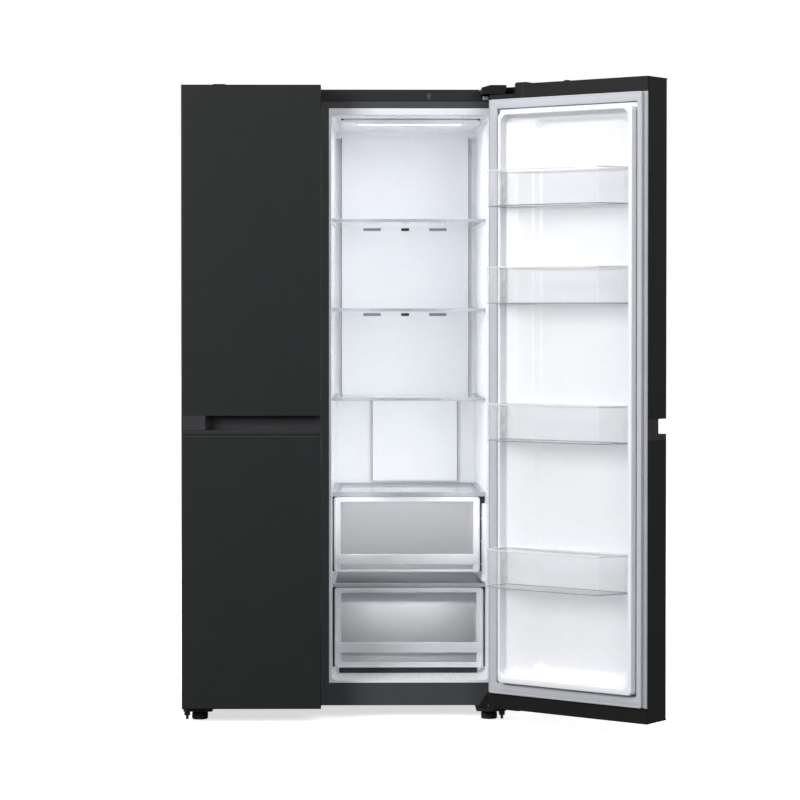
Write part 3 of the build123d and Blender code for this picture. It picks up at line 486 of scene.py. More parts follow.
def wall_dots(name, node, heights):
    """Round locating bumps on the side walls."""
    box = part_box(node)
    dome = [(0.0075, -0.001), (0.0075, 0.0006), (0.0060, 0.0022), (0.003, 0.0028)]

    def build(bm):
        for z in heights:
            for y in (-0.10, 0.16):
                for side in (-1, 1):
                    place = Matrix.Translation((liner_wall(box, side, y), y, z))
                    turned(bm, dome, place @ Matrix.Rotation(-side * math.pi / 2, 4, "Y"), 20)

    piece(name, build, LINER_WHITE, "white_liner")


def build_compartments():
    compartment("fridge_compartment", "fridge_liner")
    compartment("freezer_compartment", "freezer_liner")
    tops = [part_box(node)[0].z for node in SHELVES + ["crisper_lid_frame", "drawer_divider"]]
    wall_ribs("fridge_ribs", "fridge_liner", tops, 0.2605)
    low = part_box("freezer_shelves")[0].z
    wall_ribs("freezer_ribs", "freezer_liner", [low, low + 0.26, low + 0.525, low + 0.795], 0.1725)
    wall_dots("fridge_dots", "fridge_liner", [1.29, 1.245, 1.035, 0.99, 0.78, 0.735])


def build_rail():
    """The white guide block beside the upper crisper, and a dark slotted strip below the lower one, shaped like a
    return air grille: its darkness is painted shade for the gap under that crisper.
    """
    low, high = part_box("fridge_liner")
    wall, floor = high.x - LINER_SIDE, low.z + LINER_FOOT

    def guide(bm):
        brick(bm, (wall - 0.0147, -0.1175, 0.372), (wall + 0.001, 0.2625, 0.600), 0.003, 3)
        for z in (0.420, 0.486, 0.552):
            brick(bm, (wall - 0.0162, -0.1155, z), (wall - 0.0140, 0.2605, z + 0.006), 0.0008)

    piece("crisper_guide", guide, LINER_WHITE, "white_liner")

    # Painted shade: a dark slotted strip standing in for the shadow in the gap under the lower crisper.
    def shade_strip(bm):
        brick(bm, (-0.016, -0.1175, floor - 0.0005), (0.384, -0.1145, 0.1235), 0.001)
        for index in range(33):
            x = -0.010 + 0.012 * index
            brick(bm, (x - 0.0015, -0.1190, floor), (x + 0.0015, -0.1165, 0.1225), 0.0005, 1)

    piece("under_crisper_shade_strip", shade_strip, SLOT_AND_SHADE_DARK, "black_plastic")


def build_ceiling():
    """The soft corner between roof and duct, the lamp's bezel, and the roof panel's front seam with its clips."""
    low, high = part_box("ceiling_panel")
    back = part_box("air_duct_panel")[0].y
    reach, top = 0.032, high.z
    cove = []
    for step in range(9):
        angle = math.pi / 2 * step / 8
        cove.append((back - reach + reach * math.sin(angle), top - reach + reach * math.cos(angle)))
    cove += [(back + 0.002, top - reach), (back + 0.002, top + 0.0006), (back - reach, top + 0.0006)]
    lofted("ceiling_cove", [lift(cove, 0, x) for x in (-0.0296, 0.4006)], LINER_WHITE, "white_liner", sharp=50)

    lens_low, lens_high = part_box("lamp_lens")
    rings = []
    for share, z in ((0.0, top - 0.001), (0.0, lens_low.z - 0.0012), (0.06, lens_low.z - 0.0020),
                     (1.0, lens_low.z - 0.0008), (1.0, lens_low.z + 0.0004)):
        corners = ((lens_low.x - 0.005 + 0.012 * share, lens_low.y - 0.005 + 0.014 * share),
                   (lens_high.x + 0.005 - 0.012 * share, lens_high.y + 0.005 - 0.040 * share))
        rings.append(lift(rectangle(*corners, 0.012 - 0.004 * share), 2, z))
    lofted("lamp_bezel", rings, LINER_WHITE, "white_liner", closed=True)

    def seam(bm):
        x0, x1, y = low.x + 0.004, high.x - 0.004, low.y
        brick(bm, (x0, y - 0.0016, top - 0.0026), (x1, y + 0.0004, top - 0.0002), 0.0004)
        for x in (x0, x1):
            brick(bm, (x - 0.0042, y - 0.0028, top - 0.0048), (x + 0.0042, y + 0.0006, top + 0.0014), 0.0012, 3)

    piece("ceiling_seam", seam, SLOT_AND_SHADE_DARK, "black_plastic")


def build_vents():
    """Louvres in the duct's outlets, its dark sensor slots, and its seams."""
    low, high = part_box("air_duct_panel")

    def louvres(outlets):
        def build(bm):
            for z in OUTLET_FEET:
                head = z + OUTLET_HEIGHT
                for x0, x1 in outlets:
                    brick(bm, (x0, low.y + 0.0035, z), (x1, low.y + 0.009, head), 0.0003)
                    bars = max(2, round((x1 - x0) / 0.0105))
                    for bar in range(1, bars):
                        x = x0 + (x1 - x0) * bar / bars
                        brick(bm, (x - 0.0006, low.y + 0.0006, z), (x + 0.0006, low.y + 0.004, head), 0.0002, 1)
        return build

    piece("duct_louvres", louvres([(0.057, 0.110), (0.257, 0.310)]), LOUVRE_GREY, "black_plastic")
    piece("duct_sensor_slots", louvres([(0.172, 0.196)]), SLOT_AND_SHADE_DARK, "black_plastic")

    def seams(bm):
        for z0, z1, x0, x1 in ((0.897, 1.690, low.x, high.x), (0.640, 0.897, 0.084, 0.343)):
            for x in (x0, x1):
                brick(bm, (x - 0.0009, low.y - 0.0004, z0), (x + 0.0009, low.y + 0.006, z1), 0.0003, 1)

    piece("duct_seams", seams, SEAM_AND_SHADE_GREY, "grey_gasket")


# ---- shelves and crispers


def build_shelf_rails():
    """Slim side rails that hold each glass shelf."""
    def build(bm):
        for name in SHELVES:
            low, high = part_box(name)
            section = rounded([(0.0, high.z + 0.0016), (0.0, low.z - 0.0014), (0.007, low.z - 0.0014),
                               (0.007, high.z + 0.0016)], [0.0006] * 4, 2)
            ends = ((low.y, 0.0), (high.y, DRAFT * (high.y - low.y)))
            for side, x in ((-1, low.x), (1, high.x)):
                loft(bm, [[(x - side * inset - side * a, y, b) for a, b in section] for y, inset in ends])

    piece("shelf_side_rails", build, SILVER, "silver_trim")


def crisper_face(tier, band, borders):
    """A crisper's front: a frosted frame with soft corners, a clear window and a grip band across it."""
    body = f"crisper_{tier}"
    low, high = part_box(f"{body}_front")
    side, foot, head = borders
    y0, y1 = low.y, high.y

    def ring(share, y, radius, extra=0.0):
        across, under, over = side * share + extra, foot * share + extra, head * share + extra
        return lift(rectangle((low.x + across, low.z + under), (high.x - across, high.z - over), radius), 1, y)

    rings = [ring(0.0, y1, 0.009), ring(0.0, y0 + 0.003, 0.009), ring(0.0, y0 + 0.0008, 0.0085, 0.0009),
             ring(0.0, y0, 0.007, 0.003), ring(0.34, y0, 0.007), ring(0.40, y0 + 0.0016, 0.006),
             ring(0.92, y0 + 0.0020, 0.005), ring(1.0, y0 + 0.0034, 0.004), ring(1.0, y1, 0.004)]
    lofted(f"{body}_frame", rings, FROSTED, "frosted_plastic", body, [f"{body}_front"], closed=True)
    rings = [ring(1.0, y, 0.004, -0.0005) for y in (y0 + 0.0120, y0 + 0.0140)]
    lofted(f"{body}_window", rings, CLEAR, "clear_plastic", body)

    z0, z1 = band
    front, step, back = y0 - 0.0008, y0 + 0.0026, y0 + 0.0120
    section = rounded([(front, z1), (back, z1), (back, z1 - 0.003), (step, z1 - 0.0034), (step, z0), (front, z0)],
                      [0.0012, 0.0006, 0.0006, 0.0012, 0.0008, 0.0010], 3)
    rings = [lift(section, 0, x) for x in (low.x + 0.007, high.x - 0.007)]
    lofted(f"{body}_grip", rings, BAND, "frosted_plastic", body)


def tub(name, node, front, wall, body="cabinet"):
    """A rounded clear tub in the place of its CAD node, open at the top, with a rolled rim."""
    low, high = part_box(node)
    z0, z1, floor = low.z, high.z, low.z + TUB_FLOOR
    steps = [(0.004, z0), (0.0012, z0 + 0.0012), (0.0, z0 + 0.004), (0.0, z1 - 0.006), (-TUB_LIP, z1 - 0.005),
             (-TUB_LIP, z1 - 0.001), (-TUB_LIP + 0.001, z1), (wall - 0.0008, z1), (wall, z1 - 0.001),
             (wall, floor + 0.005), (wall + 0.0015, floor + 0.0015), (wall + 0.005, floor)]
    rings = []
    for inset, z in steps:
        corners = (low.x + inset, low.y + front + inset), (high.x - inset, high.y - inset)
        rings.append(lift(rectangle(*corners, max(0.002, TUB_CORNER - inset), 5), 2, z))
    lofted(name, rings, CLEAR, "clear_plastic", body, [node])


def build_divider_shade_plate():
    """A dark glossy plate between the two crispers; its darkness is painted shade for the gap between them."""
    low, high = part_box("drawer_divider")
    lean = DRAFT * (high.y - low.y)
    rings = []
    for inset, z in ((0.0, 0.3642), (0.0, 0.3652), (0.001, 0.3656)):
        x0, x1 = low.x + 0.006 + inset, high.x - 0.006 - inset
        y0, y1 = -0.1165 + inset, high.y - 0.004 - inset
        outline = rounded([(x0, y0), (x1, y0), (x1 - lean, y1), (x0 + lean, y1)], [0.004] * 4, 3)
        rings.append(lift(outline, 2, z))
    lofted("divider_shade_plate", rings, SHADE_PLATE_GREY, "black_plastic")


def crisper_shade_frame(tier, top):
    """A dark frame behind a crisper's front: painted shade, a sheet that stands in for the shadow in the gaps at its
    sides and above it.
    """
    low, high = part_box(f"crisper_{tier}_front")
    wall_low, wall_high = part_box("drawer_divider")
    x0, x1, foot = wall_low.x + 0.0005, wall_high.x - 0.0005, low.z + 0.0015
    inner_x0, inner_x1, head = low.x + 0.0045, high.x - 0.0045, high.z - 0.001
    corners = [(x0, foot), (inner_x0, foot), (inner_x0, head), (inner_x1, head),
               (inner_x1, foot), (x1, foot), (x1, top), (x0, top)]
    outline = rounded(corners, [0.0006] * 2 + [0.008] * 2 + [0.0006] * 4, 3)
    rings = [lift(outline, 1, y) for y in (high.y + 0.0008, high.y + 0.0058)]
    lofted(f"crisper_{tier}_surround", rings, SHADE_FRAME_GREY, "black_plastic")


def build_crispers():
    build_divider_shade_plate()
    crisper_shade_frame("upper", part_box("crisper_lid_frame")[0].z - 0.0002)
    crisper_shade_frame("lower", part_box("drawer_divider")[0].z - 0.0002)
    crisper_face("upper", (0.424, 0.453), (0.019, 0.0075, 0.014))
    crisper_face("lower", (0.1685, 0.1974), (0.019, 0.014, 0.014))
    for tier in ("upper", "lower"):
        tub(f"crisper_{tier}_bin", f"crisper_{tier}_tub", 0.0, 0.0026, f"crisper_{tier}")


def freezer_bin(name, node):
    """A freezer drawer: a clear bin whose front carries a grip ledge."""
    tub(name + "_bin", node, 0.008, 0.003)
    low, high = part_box(node)
    y0, y1 = low.y, low.y + 0.0075

    def ring(inset, y, radius):
        corners = (low.x + inset, low.z + inset), (high.x - inset, high.z - 0.004 - inset)
        return lift(rectangle(*corners, radius), 1, y)

    def front(bm):
        rings = [ring(0.0, y1, 0.008), ring(0.0, y0 + 0.0025, 0.008), ring(0.0015, y0, 0.007),
                 ring(0.030, y0, 0.010), ring(0.034, y0 + 0.0022, 0.008), ring(0.034, y1, 0.008)]
        loft(bm, rings, closed=True)
        brick(bm, (low.x + 0.09, y0 - 0.0005, high.z - 0.052), (high.x - 0.09, y1, high.z - 0.034), 0.003, 3)

    piece(name + "_front", front, FROSTED, "frosted_plastic")


# ---- doors


def inside(box, inset):
    """A (u0, u1, z0, z1) box with its sides moved in, as the corners of a rectangle."""
    u0, u1, z0, z1 = box
    return (u0 + inset, z0 + inset), (u1 - inset, z1 - inset)


def door_liner(side):
    """The moulded inner face of a door: border, raised ring with a crowned top, and a recess with sloping sides."""
    width, place = hung(side)
    low, high = DOOR_LOW + CAP_LOW, DOOR_HIGH - CAP_HIGH
    outer, outer_corner = (0.048, width - 0.030, 0.117, 1.708), 0.012
    inner, inner_corner = (0.060, width - 0.046, 0.137, 1.698), 0.022
    border = ((0.003, 0.002, -0.0142), (0.003, 0.002, -0.003), (0.0005, 0.0, -0.0022), (0.0005, 0.0, 0.0))
    crown = ((0.0, 0.0), (0.0004, 0.004), (0.0009, 0.022), (0.0014, 0.0277), (0.0026, 0.0296), (0.0045, 0.030))
    # Insets at the hinge side, free side, foot and head, and the height
    fall = ((0.0, 0.0, 0.0, 0.0, 0.0140), (0.003, 0.002, 0.003, 0.002, 0.006), (0.020, 0.004, 0.006, 0.004, 0.0015),
            (0.031, 0.006, 0.010, 0.007, -0.0018), (0.036, 0.007, 0.012, 0.009, -0.0026),
            (0.039, 0.0073, 0.0124, 0.0093, -0.0028), (0.081, 0.0097, 0.0156, 0.0117, -0.0034),
            (0.084, 0.010, 0.016, 0.012, -0.0036), (0.090, 0.012, 0.019, 0.015, -0.0050),
            (0.102, 0.015, 0.027, 0.020, -0.0102), (0.109, 0.018, 0.033, 0.024, -0.0118),
            (0.114, 0.021, 0.037, 0.027, -0.012))

    def ring(corners, radius, v):
        return place(rectangle(*corners, radius, 7), 1, v)

    rings = [ring(((inset, low + end), (width - inset, high - end)), 0.0005, v) for inset, end, v in border]
    rings += [ring(inside(outer, inset), outer_corner, v) for inset, v in crown]
    rings += [ring(inside(inner, -inset), inner_corner, v) for inset, v in reversed(crown[2:])]
    for hinge_side, free_side, foot, head, v in fall:
        corners = (inner[0] + hinge_side, inner[2] + foot), (inner[1] - free_side, inner[3] - head)
        rings.append(ring(corners, inner_corner + free_side * 0.4, v))
    body = side + "_door"
    lofted(f"{body}_inner_face", rings, LINER_WHITE, "white_liner", body, [f"{body}_liner"], 50)


def door_bosses(side, baskets):
    """Bosses on the raised ring that the baskets hang on."""
    width, place = hung(side)

    def build(bm):
        for low, high in baskets:
            for u0, u1 in ((0.0585, 0.0635), (width - 0.0515, width - 0.0455)):
                for z in (low + 0.030, high - 0.030):
                    rings = []
                    for u, inset in ((u0, 0.0), (u0 + 0.0006, 0.0), (u1 - 0.0012, 0.0), (u1, 0.0015)):
                        corners = (0.002 + inset, z - 0.010 + inset), (0.018 - inset, z + 0.010 - inset)
                        rings.append(place(rectangle(*corners, 0.004, 3), 0, u))
                    loft(bm, rings)

    piece(f"{side}_door_bosses", build, LINER_WHITE, "white_liner", f"{side}_door")


def gasket(side):
    """The magnetic seal: a bellows with a grooved face, mitred round the door, with a border and an inner bead whose
    dark grey is painted shade for the thin gap between the seal and the raised ring.
    """
    width, place = hung(side)
    body = side + "_door"
    low, high = DOOR_LOW + CAP_LOW + 0.0005, DOOR_HIGH - CAP_HIGH
    outer = (0.010, width - 0.0125, low, high, 0.005)
    inner = (0.034, width - 0.0275, low + 0.030, high - 0.026, 0.003)
    section = ((0.05, 0.0), (0.0, 0.0008), (0.0, 0.0036), (0.07, 0.0046), (0.0, 0.0056), (0.0, 0.0098),
               (0.06, 0.0110), (0.16, 0.0111), (0.20, 0.0106), (0.24, 0.0111), (0.60, 0.0112), (0.94, 0.0110),
               (1.0, 0.0098), (1.0, 0.0060), (0.93, 0.0048), (1.0, 0.0036), (1.0, 0.0008), (0.95, 0.0))
    rings = []
    for share, v in section:
        u0, u1, z0, z1, radius = [a + (b - a) * share for a, b in zip(outer, inner)]
        rings.append(place(rectangle((u0, z0), (u1, z1), radius, 5), 1, v))
    lofted(f"{body}_seal", rings, SEAL_GREY, "grey_gasket", body, [f"{body}_gasket"], closed=True)

    rings = []
    for inset, v in ((0.0006, 0.0002), (0.0006, 0.0010), (0.0010, 0.0014), (0.0180, 0.0014), (0.0180, 0.0002)):
        corners = (inset, low + inset - 0.0006), (width - inset, high - inset + 0.0006)
        rings.append(place(rectangle(*corners, 0.003, 5), 1, v))
    lofted(f"{body}_border", rings, BORDER_GREY, "white_liner", body, closed=True)

    # The dark bead inside the seal is painted shade: the thin dark line of the gap between the seal and the raised
    # ring.
    rings = []
    for grow, v in ((0.0, 0.0002), (0.0, 0.0034), (0.0005, 0.0042), (0.0016, 0.0042), (0.0020, 0.0034),
                    (0.0020, 0.0002)):
        corners = (inner[0] + grow, inner[2] + grow * 0.9), (inner[1] - grow, inner[3] - grow)
        rings.append(place(rectangle(*corners, 0.003, 5), 1, v))
    lofted(f"{body}_seal_bead", rings, SEAM_AND_SHADE_GREY, "grey_gasket", body, closed=True)


def basket(name, side, low, high, replaces):
    """A clear door basket: narrow between the raised sides, wider and chamfered in front of them."""
    width, place = hung(side)
    free = width - DOOR_WIDTH["fridge"]
    corners = [(0.061, 0.003), (0.061, 0.030), (0.054, 0.040), (0.054, 0.090), (0.124, 0.118),
               (0.433 + free, 0.118), (0.463 + free, 0.036), (0.466 + free, 0.003)]
    radii = [0.003, 0.002, 0.004, 0.010, 0.010, 0.009, 0.008, 0.003]
    centre_u, centre_v = (0.054 + 0.466 + free) / 2, 0.060
    half_u, half_v = (0.466 + free - 0.054) / 2, 0.058

    def ring(inset, z):
        squeeze_u, squeeze_v = 1 - inset / half_u, 1 - inset / half_v
        moved = [(centre_u + (u - centre_u) * squeeze_u, centre_v + (v - centre_v) * squeeze_v) for u, v in corners]
        return place(rounded(moved, radii, 4), 2, z)

    def skin(suffix, steps, *finish, **settings):
        lofted(name + suffix, [ring(inset, z) for inset, z in steps], *finish, "clear_plastic", f"{side}_door",
               **settings)

    steps = [(0.005, low), (0.0015, low + 0.0010), (0.0, low + 0.004), (0.0, high - 0.007), (-0.0012, high - 0.006),
             (-0.0012, high - 0.001), (-0.0004, high), (0.0018, high), (0.0026, high - 0.001), (0.0026, low + 0.008),
             (0.0040, low + 0.0042), (0.008, low + 0.003)]
    skin("", steps, CLEAR, replaces=replaces, sharp=30)
    # The grey ring round the foot is painted shade: the dark line along each basket's bottom edge.
    steps = [(0.0001, low + 0.0006), (-0.0006, low + 0.0012), (-0.0006, low + 0.0026), (0.0004, low + 0.0032),
             (0.0022, low + 0.0030), (0.0022, low + 0.0006)]
    skin("_edge", steps, FOOT_SHADE_CLEAR, closed=True)
    # The rim ring is whiter and denser than the basket: a painted highlight along its top edge.
    steps = [(-0.0013, high - 0.0034), (-0.0019, high - 0.0028), (-0.0019, high - 0.0006), (-0.0010, high + 0.0004),
             (0.0020, high + 0.0004), (0.0030, high - 0.0006), (0.0030, high - 0.0034)]
    skin("_rim", steps, RIM_HIGHLIGHT_CLEAR, closed=True)


def build_doors():
    fridge_baskets = [(b[0].z, b[1].z) for b in (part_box(f"fridge_door_basket_{i}") for i in range(1, 5))]
    freezer_baskets = [(0.260, 0.360), (0.560, 0.660), (0.900, 1.000), (1.240, 1.340)]
    for side, baskets in (("fridge", fridge_baskets), ("freezer", freezer_baskets)):
        door_liner(side)
        door_bosses(side, baskets)
        gasket(side)
    for number, (low, high) in enumerate(fridge_baskets, start=1):
        basket(f"fridge_basket_{number}", "fridge", low, high, [f"fridge_door_basket_{number}"])
    for number, (low, high) in enumerate(freezer_baskets, start=1):
        basket(f"freezer_basket_{number}", "freezer", low, high, ["freezer_door_baskets"] if number == 1 else [])


def build_door_trims():
    """On each door: a pale strip along its lower skin's top, a painted highlight for the light that edge catches,
    the grip ledge above it, and the stop plate underneath.
    """
    # The pale strip is a painted highlight on the lower skin's top edge.
    strips = (("edge_highlight", 0.0003, 0.0022, 0.8046, 0.8063, 0.0005, 3, EDGE_HIGHLIGHT_GREY, "door_steel"),
              ("grip_ledge", 0.0004, 0.0012, 0.8072, 0.8212, 0.0003, 2, LEDGE_PLASTIC, "black_plastic"))
    for side in ("fridge", "freezer"):
        width, place = hung(side)
        body = side + "_door"
        for name, proud, sunk, z0, z1, radius, steps, material, slot in strips:
            section = rectangle((-DOOR_THICK - proud, z0), (-DOOR_THICK + sunk, z1), radius, steps)
            rings = [place(section, 0, u) for u in (0.0045, width - 0.0045)]
            lofted(f"{body}_{name}", rings, material, slot, body)
        outline = rectangle((0.026, -0.046), (0.094, -0.012), 0.006, 4)
        rings = [place(outline, 2, z) for z in (DOOR_LOW + 0.0006, DOOR_LOW - 0.0034)]
        rings.append(place(rectangle((0.0268, -0.0452), (0.0932, -0.0128), 0.0054, 4), 2, DOOR_LOW - 0.0042))
        lofted(f"{body}_stop", rings, HINGE_STEEL, "black_plastic", body)


def build_cap_details():
    """What stands on the doors' top caps: the hinge stop block beside the notch and a small stop pad."""
    blocks = ((0.0872, 0.124, -0.078, 0.0012, DOOR_HIGH - 0.040, DOOR_HIGH + 0.0042),
              (0.247, 0.261, -0.020, 0.0006, DOOR_HIGH - 0.001, DOOR_HIGH + 0.0026))
    for side in ("fridge", "freezer"):
        place = hung(side)[1]

        def build(bm):
            for u0, u1, v0, v1, z0, z1 in blocks:
                steps = ((0.0, 0.004, z0), (0.0, 0.004, z1 - 0.003), (0.0008, 0.0035, z1 - 0.0008),
                         (0.0028, 0.003, z1))
                loft(bm, [place(rectangle((u0 + inset, v0 + inset), (u1 - inset, v1 - inset), radius, 4), 2, z)
                          for inset, radius, z in steps])

        piece(f"{side}_cap_block", build, CAP_PLASTIC, "black_plastic", f"{side}_door")


# ---- cabinet details


def build_front_details():
    """The door switch in the top strip, and a small pad by each top hinge."""
    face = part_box("top_cover")[0].y

    def sensor(bm):
        brick(bm, (0.2345, face - 0.0016, 1.7545), (0.2455, face + 0.001, 1.7715), 0.0012, 3)
        brick(bm, (0.2368, face - 0.0028, 1.7585), (0.2432, face, 1.7675), 0.0010, 3)

    piece("door_switch", sensor, SWITCH_GREY, "black_plastic")

    def pads(bm):
        for side in (-1, 1):
            x0, x1 = sorted((side * 0.392, side * 0.409))
            brick(bm, (x0, face - 0.0055, 1.7535), (x1, face + 0.0005, 1.7645), 0.002, 3)

    piece("hinge_pads", pads, PAD_GREY, "grey_gasket")


def cross(angle, arm, length):
    """The radius of a cross-shaped recess at an angle."""
    c, s = max(1e-6, abs(math.cos(angle))), max(1e-6, abs(math.sin(angle)))
    return max(min(length / c, arm / s), min(length / s, arm / c))


def screw_head(bm, place, radius=0.0055, height=0.003):
    """A domed head with a cross recess, standing on the plane z = 0 of its place."""
    dome = ((radius, -0.0006), (radius, height * 0.3), (radius * 0.9, height * 0.72), (radius * 0.68, height))
    rings = [circle(place, reach, z, 32) for reach, z in dome]
    for z in (height, height * 0.35):
        rings.append(circle(place, lambda angle: cross(angle, radius * 0.13, radius * 0.52), z, 32))
    loft(bm, rings)


def facing(x, y, z, direction):
    """A place whose z axis points up, forward (-Y) or backward (+Y)."""
    angle = {"up": 0, "front": math.pi / 2, "back": -math.pi / 2}[direction]
    return Matrix.Translation((x, y, z)) @ Matrix.Rotation(angle, 4, "X")


def build_screws():
    """The screws of the hinges, and those round the back panel and the machine compartment's cover."""
    plate_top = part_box("top_hinges")[1].z
    flange_face = CABINET_FRONT - 0.006

    def hinge_heads(bm):
        for side in (-1, 1):
            for x, y in ((0.408, -0.2275), (0.408, -0.1955), (0.438, -0.2075)):
                screw_head(bm, facing(side * x, y, plate_top, "up"))
            for x in (0.414, 0.444):
                screw_head(bm, facing(side * x, flange_face, 0.062, "front"), 0.0052, 0.0024)

    piece("hinge_screw_heads", hinge_heads, SCREW_STEEL, "coil_metal", replaces=["hinge_screws"])

    def back_heads(bm):
        spots = [(-0.438 + 0.146 * i, z) for i in range(7) for z in (1.765, 0.268)]
        spots += [(side * 0.446, z) for z in (0.52, 0.80, 1.08, 1.36, 1.62) for side in (-1, 1)]
        spots += [(x, z) for x in (-0.43, -0.08, 0.08, 0.43) for z in (0.065, 0.243)]
        for x, z in spots:
            screw_head(bm, facing(x, CABINET_BACK, z, "back"), 0.0045, 0.0022)

    piece("back_screws", back_heads, SCREW_STEEL, "coil_metal")


def pressed_panel(name, node, material, slot, axis, fields, rise):
    """A sheet with pressed fields, as (a0, a1, b0, b1): a back for axis 1, an underside for axis 2."""
    low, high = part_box(node)
    across = 3 - axis
    thick = high[axis] - low[axis]

    def ring(low_corner, high_corner, inset, radius, steps, depth):
        corners = [low_corner[0] + inset, low_corner[1] + inset], [high_corner[0] - inset, high_corner[1] - inset]
        return lift(rectangle(*corners, radius, steps), axis, high.y + depth if axis == 1 else low.z - depth)

    def build(bm):
        ends = (low.x, low[across]), (high.x, high[across])
        loft(bm, [ring(*ends, inset, 0.003, 3, d) for inset, d in ((0.0, -thick), (0.0, -0.0004), (0.0004, 0.0))])
        for a0, a1, b0, b1 in fields:
            steps = ((0.0, -0.0006), (0.0, 0.0), (0.004, rise * 0.5), (0.009, rise), (0.016, rise))
            rings = [ring((a0, b0), (a1, b1), inset, 0.020, 6, depth) for inset, depth in steps]
            rings.append(ring((a0, b0), (a1, b1), 0.024, 0.014, 6, rise * 0.4))
            loft(bm, rings)

    piece(name, build, material, slot, replaces=[node])


def build_panels():
    columns = [(-0.42, -0.155), (-0.1325, 0.1325), (0.155, 0.42)]
    rows = [(0.31, 0.76), (0.80, 1.25), (1.29, 1.73)]
    fields = [(*column, *row) for column in columns for row in rows]
    pressed_panel("back_sheet", "back_panel", BACK_STEEL, "cabinet_steel", 1, fields, 0.0022)
    fields = [(*column, *row) for column in ((-0.36, -0.02), (0.02, 0.36)) for row in ((-0.18, 0.0), (0.04, 0.22))]
    pressed_panel("under_sheet", "base_plate", ZINC, "galvanised_steel", 2, fields, 0.003)


def build_feet():
    """Levelling feet: a ribbed pad, a hex collar and a threaded stem."""
    profile = [(0.0195, 0.0), (0.0215, 0.0006), (0.0225, 0.0026), (0.0230, 0.0060), (0.0230, 0.0150),
               (0.0222, 0.0186), (0.0200, 0.0198), (0.0130, 0.0202), (0.0120, 0.0202)]
    collar = [(0.0095, 0.0195), (0.0095, 0.0240), (0.0086, 0.0252), (0.0055, 0.0254)]
    thread = [(0.0050, 0.0250)]
    z = 0.0256
    while z < 0.0372:
        thread += [(0.0050, z), (0.0043, z + 0.0006)]
        z += 0.0012

    def ribs(angle, radius, height):
        ribbed = 0.002 < height < 0.0195 and radius > 0.018
        return 1.0 - 0.045 * (0.5 + 0.5 * math.cos(18 * angle)) if ribbed else 1.0

    for side in ("left", "right"):
        node = f"leveling_foot_{side}"
        low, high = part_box(node)
        centre = (low + high) / 2
        place = Matrix.Translation((centre.x, centre.y, 0))

        def pad(bm):
            turned(bm, profile, place, 72, ribs)

        def stem(bm):
            turned(bm, collar, place, 6)
            turned(bm, thread, place)

        piece(f"foot_pad_{side}", pad, RUBBER, "black_plastic", node, [node])
        piece(f"foot_stem_{side}", stem, SCREW_STEEL, "coil_metal", node)


def build_rollers():
    """Rear rollers: a grooved tyre on a hub."""
    for side in ("left", "right"):
        node = f"rear_roller_{side}"
        low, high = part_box(node)
        place = Matrix.Translation((low + high) / 2) @ Matrix.Rotation(math.pi / 2, 4, "Y")
        half, radius, bore = 0.011, (high.z - low.z) / 2, 0.00406
        section = [(bore, -half), (0.008, -half), (0.0095, -half + 0.002), (0.0145, -half + 0.002), (0.016, -half),
                   (radius - 0.002, -half), (radius, -half + 0.002), (radius, -0.002), (radius - 0.0012, -0.001)]
        section = section + [(r, -h) for r, h in reversed(section)]
        rings = [circle(place, r, h, 48) for r, h in section]
        lofted(f"roller_wheel_{side}", rings, PAN_GREY, "pan_plastic", node, [node], closed=True)


# ---- stage, light and camera


def area_light(name, location, target, size, power, glossy=True):
    """A rectangular light that the camera doesn't see."""
    data = bpy.data.lights.new(name, "AREA")
    data.shape = "RECTANGLE"
    data.size, data.size_y = size
    data.energy = power
    obj = bpy.data.objects.new(name, data)
    obj.location = location
    obj.rotation_euler = (Vector(target) - Vector(location)).to_track_quat("-Z", "Y").to_euler()
    bpy.context.scene.collection.objects.link(obj)
    obj.visible_camera = False
    obj.visible_glossy = glossy


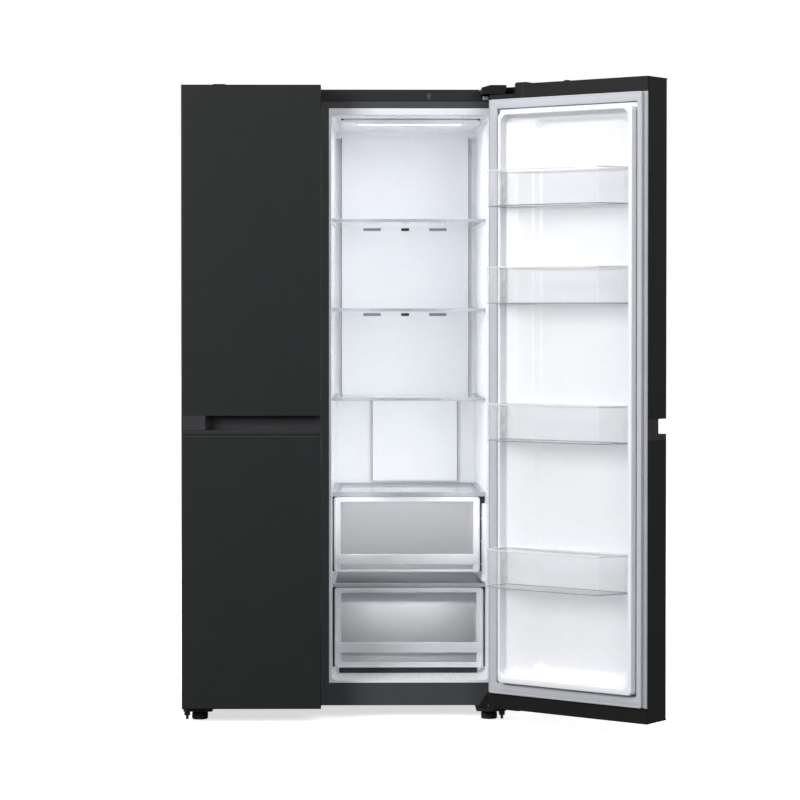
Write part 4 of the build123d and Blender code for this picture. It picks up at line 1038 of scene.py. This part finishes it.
def build_stage():
    """A plain pale floor, a soft white surround, and studio lights."""
    bm = bmesh.new()
    bmesh.ops.create_circle(bm, cap_ends=True, segments=96, radius=40.0)
    mesh = bpy.data.meshes.new("floor")
    bm.to_mesh(mesh)
    bm.free()
    floor = bpy.data.objects.new("floor", mesh)
    bpy.context.scene.collection.objects.link(floor)
    look = Look("floor_pale")
    dial(look.base, Base_Color=(0.9, 0.9, 0.9, 1), Roughness=0.9, Specular_IOR_Level=0.0,
         Emission_Color=(1, 1, 1, 1), Emission_Strength=0.66)
    underside = look.node("NewGeometry").outputs["Backfacing"]
    look.mixed(underside, look.base, look.node("BsdfTransparent"), "Material Output")
    mesh.materials.append(look.material)
    floor.visible_diffuse = False
    floor.visible_glossy = False

    world = bpy.data.worlds.new("studio")
    bpy.context.scene.world = world
    world.use_nodes = True
    sky = Tree(world.node_tree)
    ground = sky.tree.nodes["Background"]
    dial(ground, Color=(0.98, 0.99, 1.0, 1))
    split = sky.node("SeparateXYZ")
    sky.link(sky.node("TexCoord").outputs["Generated"], split.inputs["Vector"])
    sky.link(sky.between(split.outputs["Z"], 0.03, 0.53, (-0.3, 0.3)), ground.inputs["Strength"])
    white = sky.node("Background", Color=(1, 1, 1, 1), Strength=1.0)
    sky.mixed(sky.node("LightPath").outputs["Is Camera Ray"], ground, white, "World Output")

    area_light("key", (-3.9, -4.1, 2.7), (0.1, 0, 1.35), (2.4, 2.4), 255)
    area_light("fill", (2.4, -5.2, 2.8), (0.2, 0, 1.4), (2.4, 2.4), 66)
    area_light("overhead", (0.0, -0.8, 4.6), (0, -0.4, 0), (4.0, 4.0), 38)
    area_light("back_left", (-2.6, 4.4, 3.0), (0, 0, 1.0), (2.4, 2.4), 70)
    area_light("back_right", (2.8, 4.0, 2.4), (0, 0, 1.0), (2.4, 2.4), 50)


def build_lamps():
    """Light inside the compartments: the roof lamp, two strips behind the fresh food opening's sides, and a glow
    in each crisper and in the freezer."""
    low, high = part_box("lamp_lens")
    centre = (low + high) / 2
    size = (high.x - low.x, high.y - low.y)
    area_light("roof_lamp", (centre.x, centre.y, low.z - 0.004), (centre.x, centre.y + 0.10, 0.8), size, 0.33)
    for name, x, aim, power in (("strip_left", 0.03, 0.32, 1.05), ("strip_right", 0.34, 0.07, 0.78)):
        area_light(name, (x, -0.215, 1.06), (aim, 0.27, 1.06), (0.06, 1.15), power, glossy=False)
    for tier, power in (("upper", 0.75), ("lower", 0.36)):
        low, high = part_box(f"crisper_{tier}_tub")
        centre = (low + high) / 2
        spot, aim = (centre.x, low.y + 0.05, high.z - 0.012), (centre.x, high.y + 0.05, low.z + 0.06)
        area_light(f"glow_{tier}", spot, aim, (0.34, 0.05), power, glossy=False)
    low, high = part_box("freezer_liner")
    centre = (low + high) / 2
    spot, aim = (centre.x, low.y + 0.035, 1.10), (centre.x, high.y, 1.05)
    area_light("freezer_glow", spot, aim, (0.10, 1.1), 0.8, glossy=False)


def build_camera():
    data = bpy.data.cameras.new("camera")
    data.sensor_width = 36.0
    data.lens = 117.88
    data.shift_x = 0.0346
    data.shift_y = -0.05412
    data.clip_end = 200
    camera = bpy.data.objects.new("camera", data)
    camera.location = (0.0, -7.6889, 1.1506)
    camera.rotation_euler = (math.radians(90 - 0.9596), 0, math.radians(-0.6064))
    bpy.context.scene.collection.objects.link(camera)
    bpy.context.scene.camera = camera
    bpy.context.scene.view_settings.view_transform = "Standard"


build_camera()
build_stage()
build_lamps()
finish_cad()
build_compartments()
build_rail()
build_ceiling()
build_vents()
build_shelf_rails()
build_crispers()
freezer_bin("freezer_upper", "freezer_drawer_upper")
freezer_bin("freezer_lower", "freezer_drawer_lower")
build_doors()
build_door_trims()
build_cap_details()
build_front_details()
build_screws()
build_panels()
build_feet()
build_rollers()
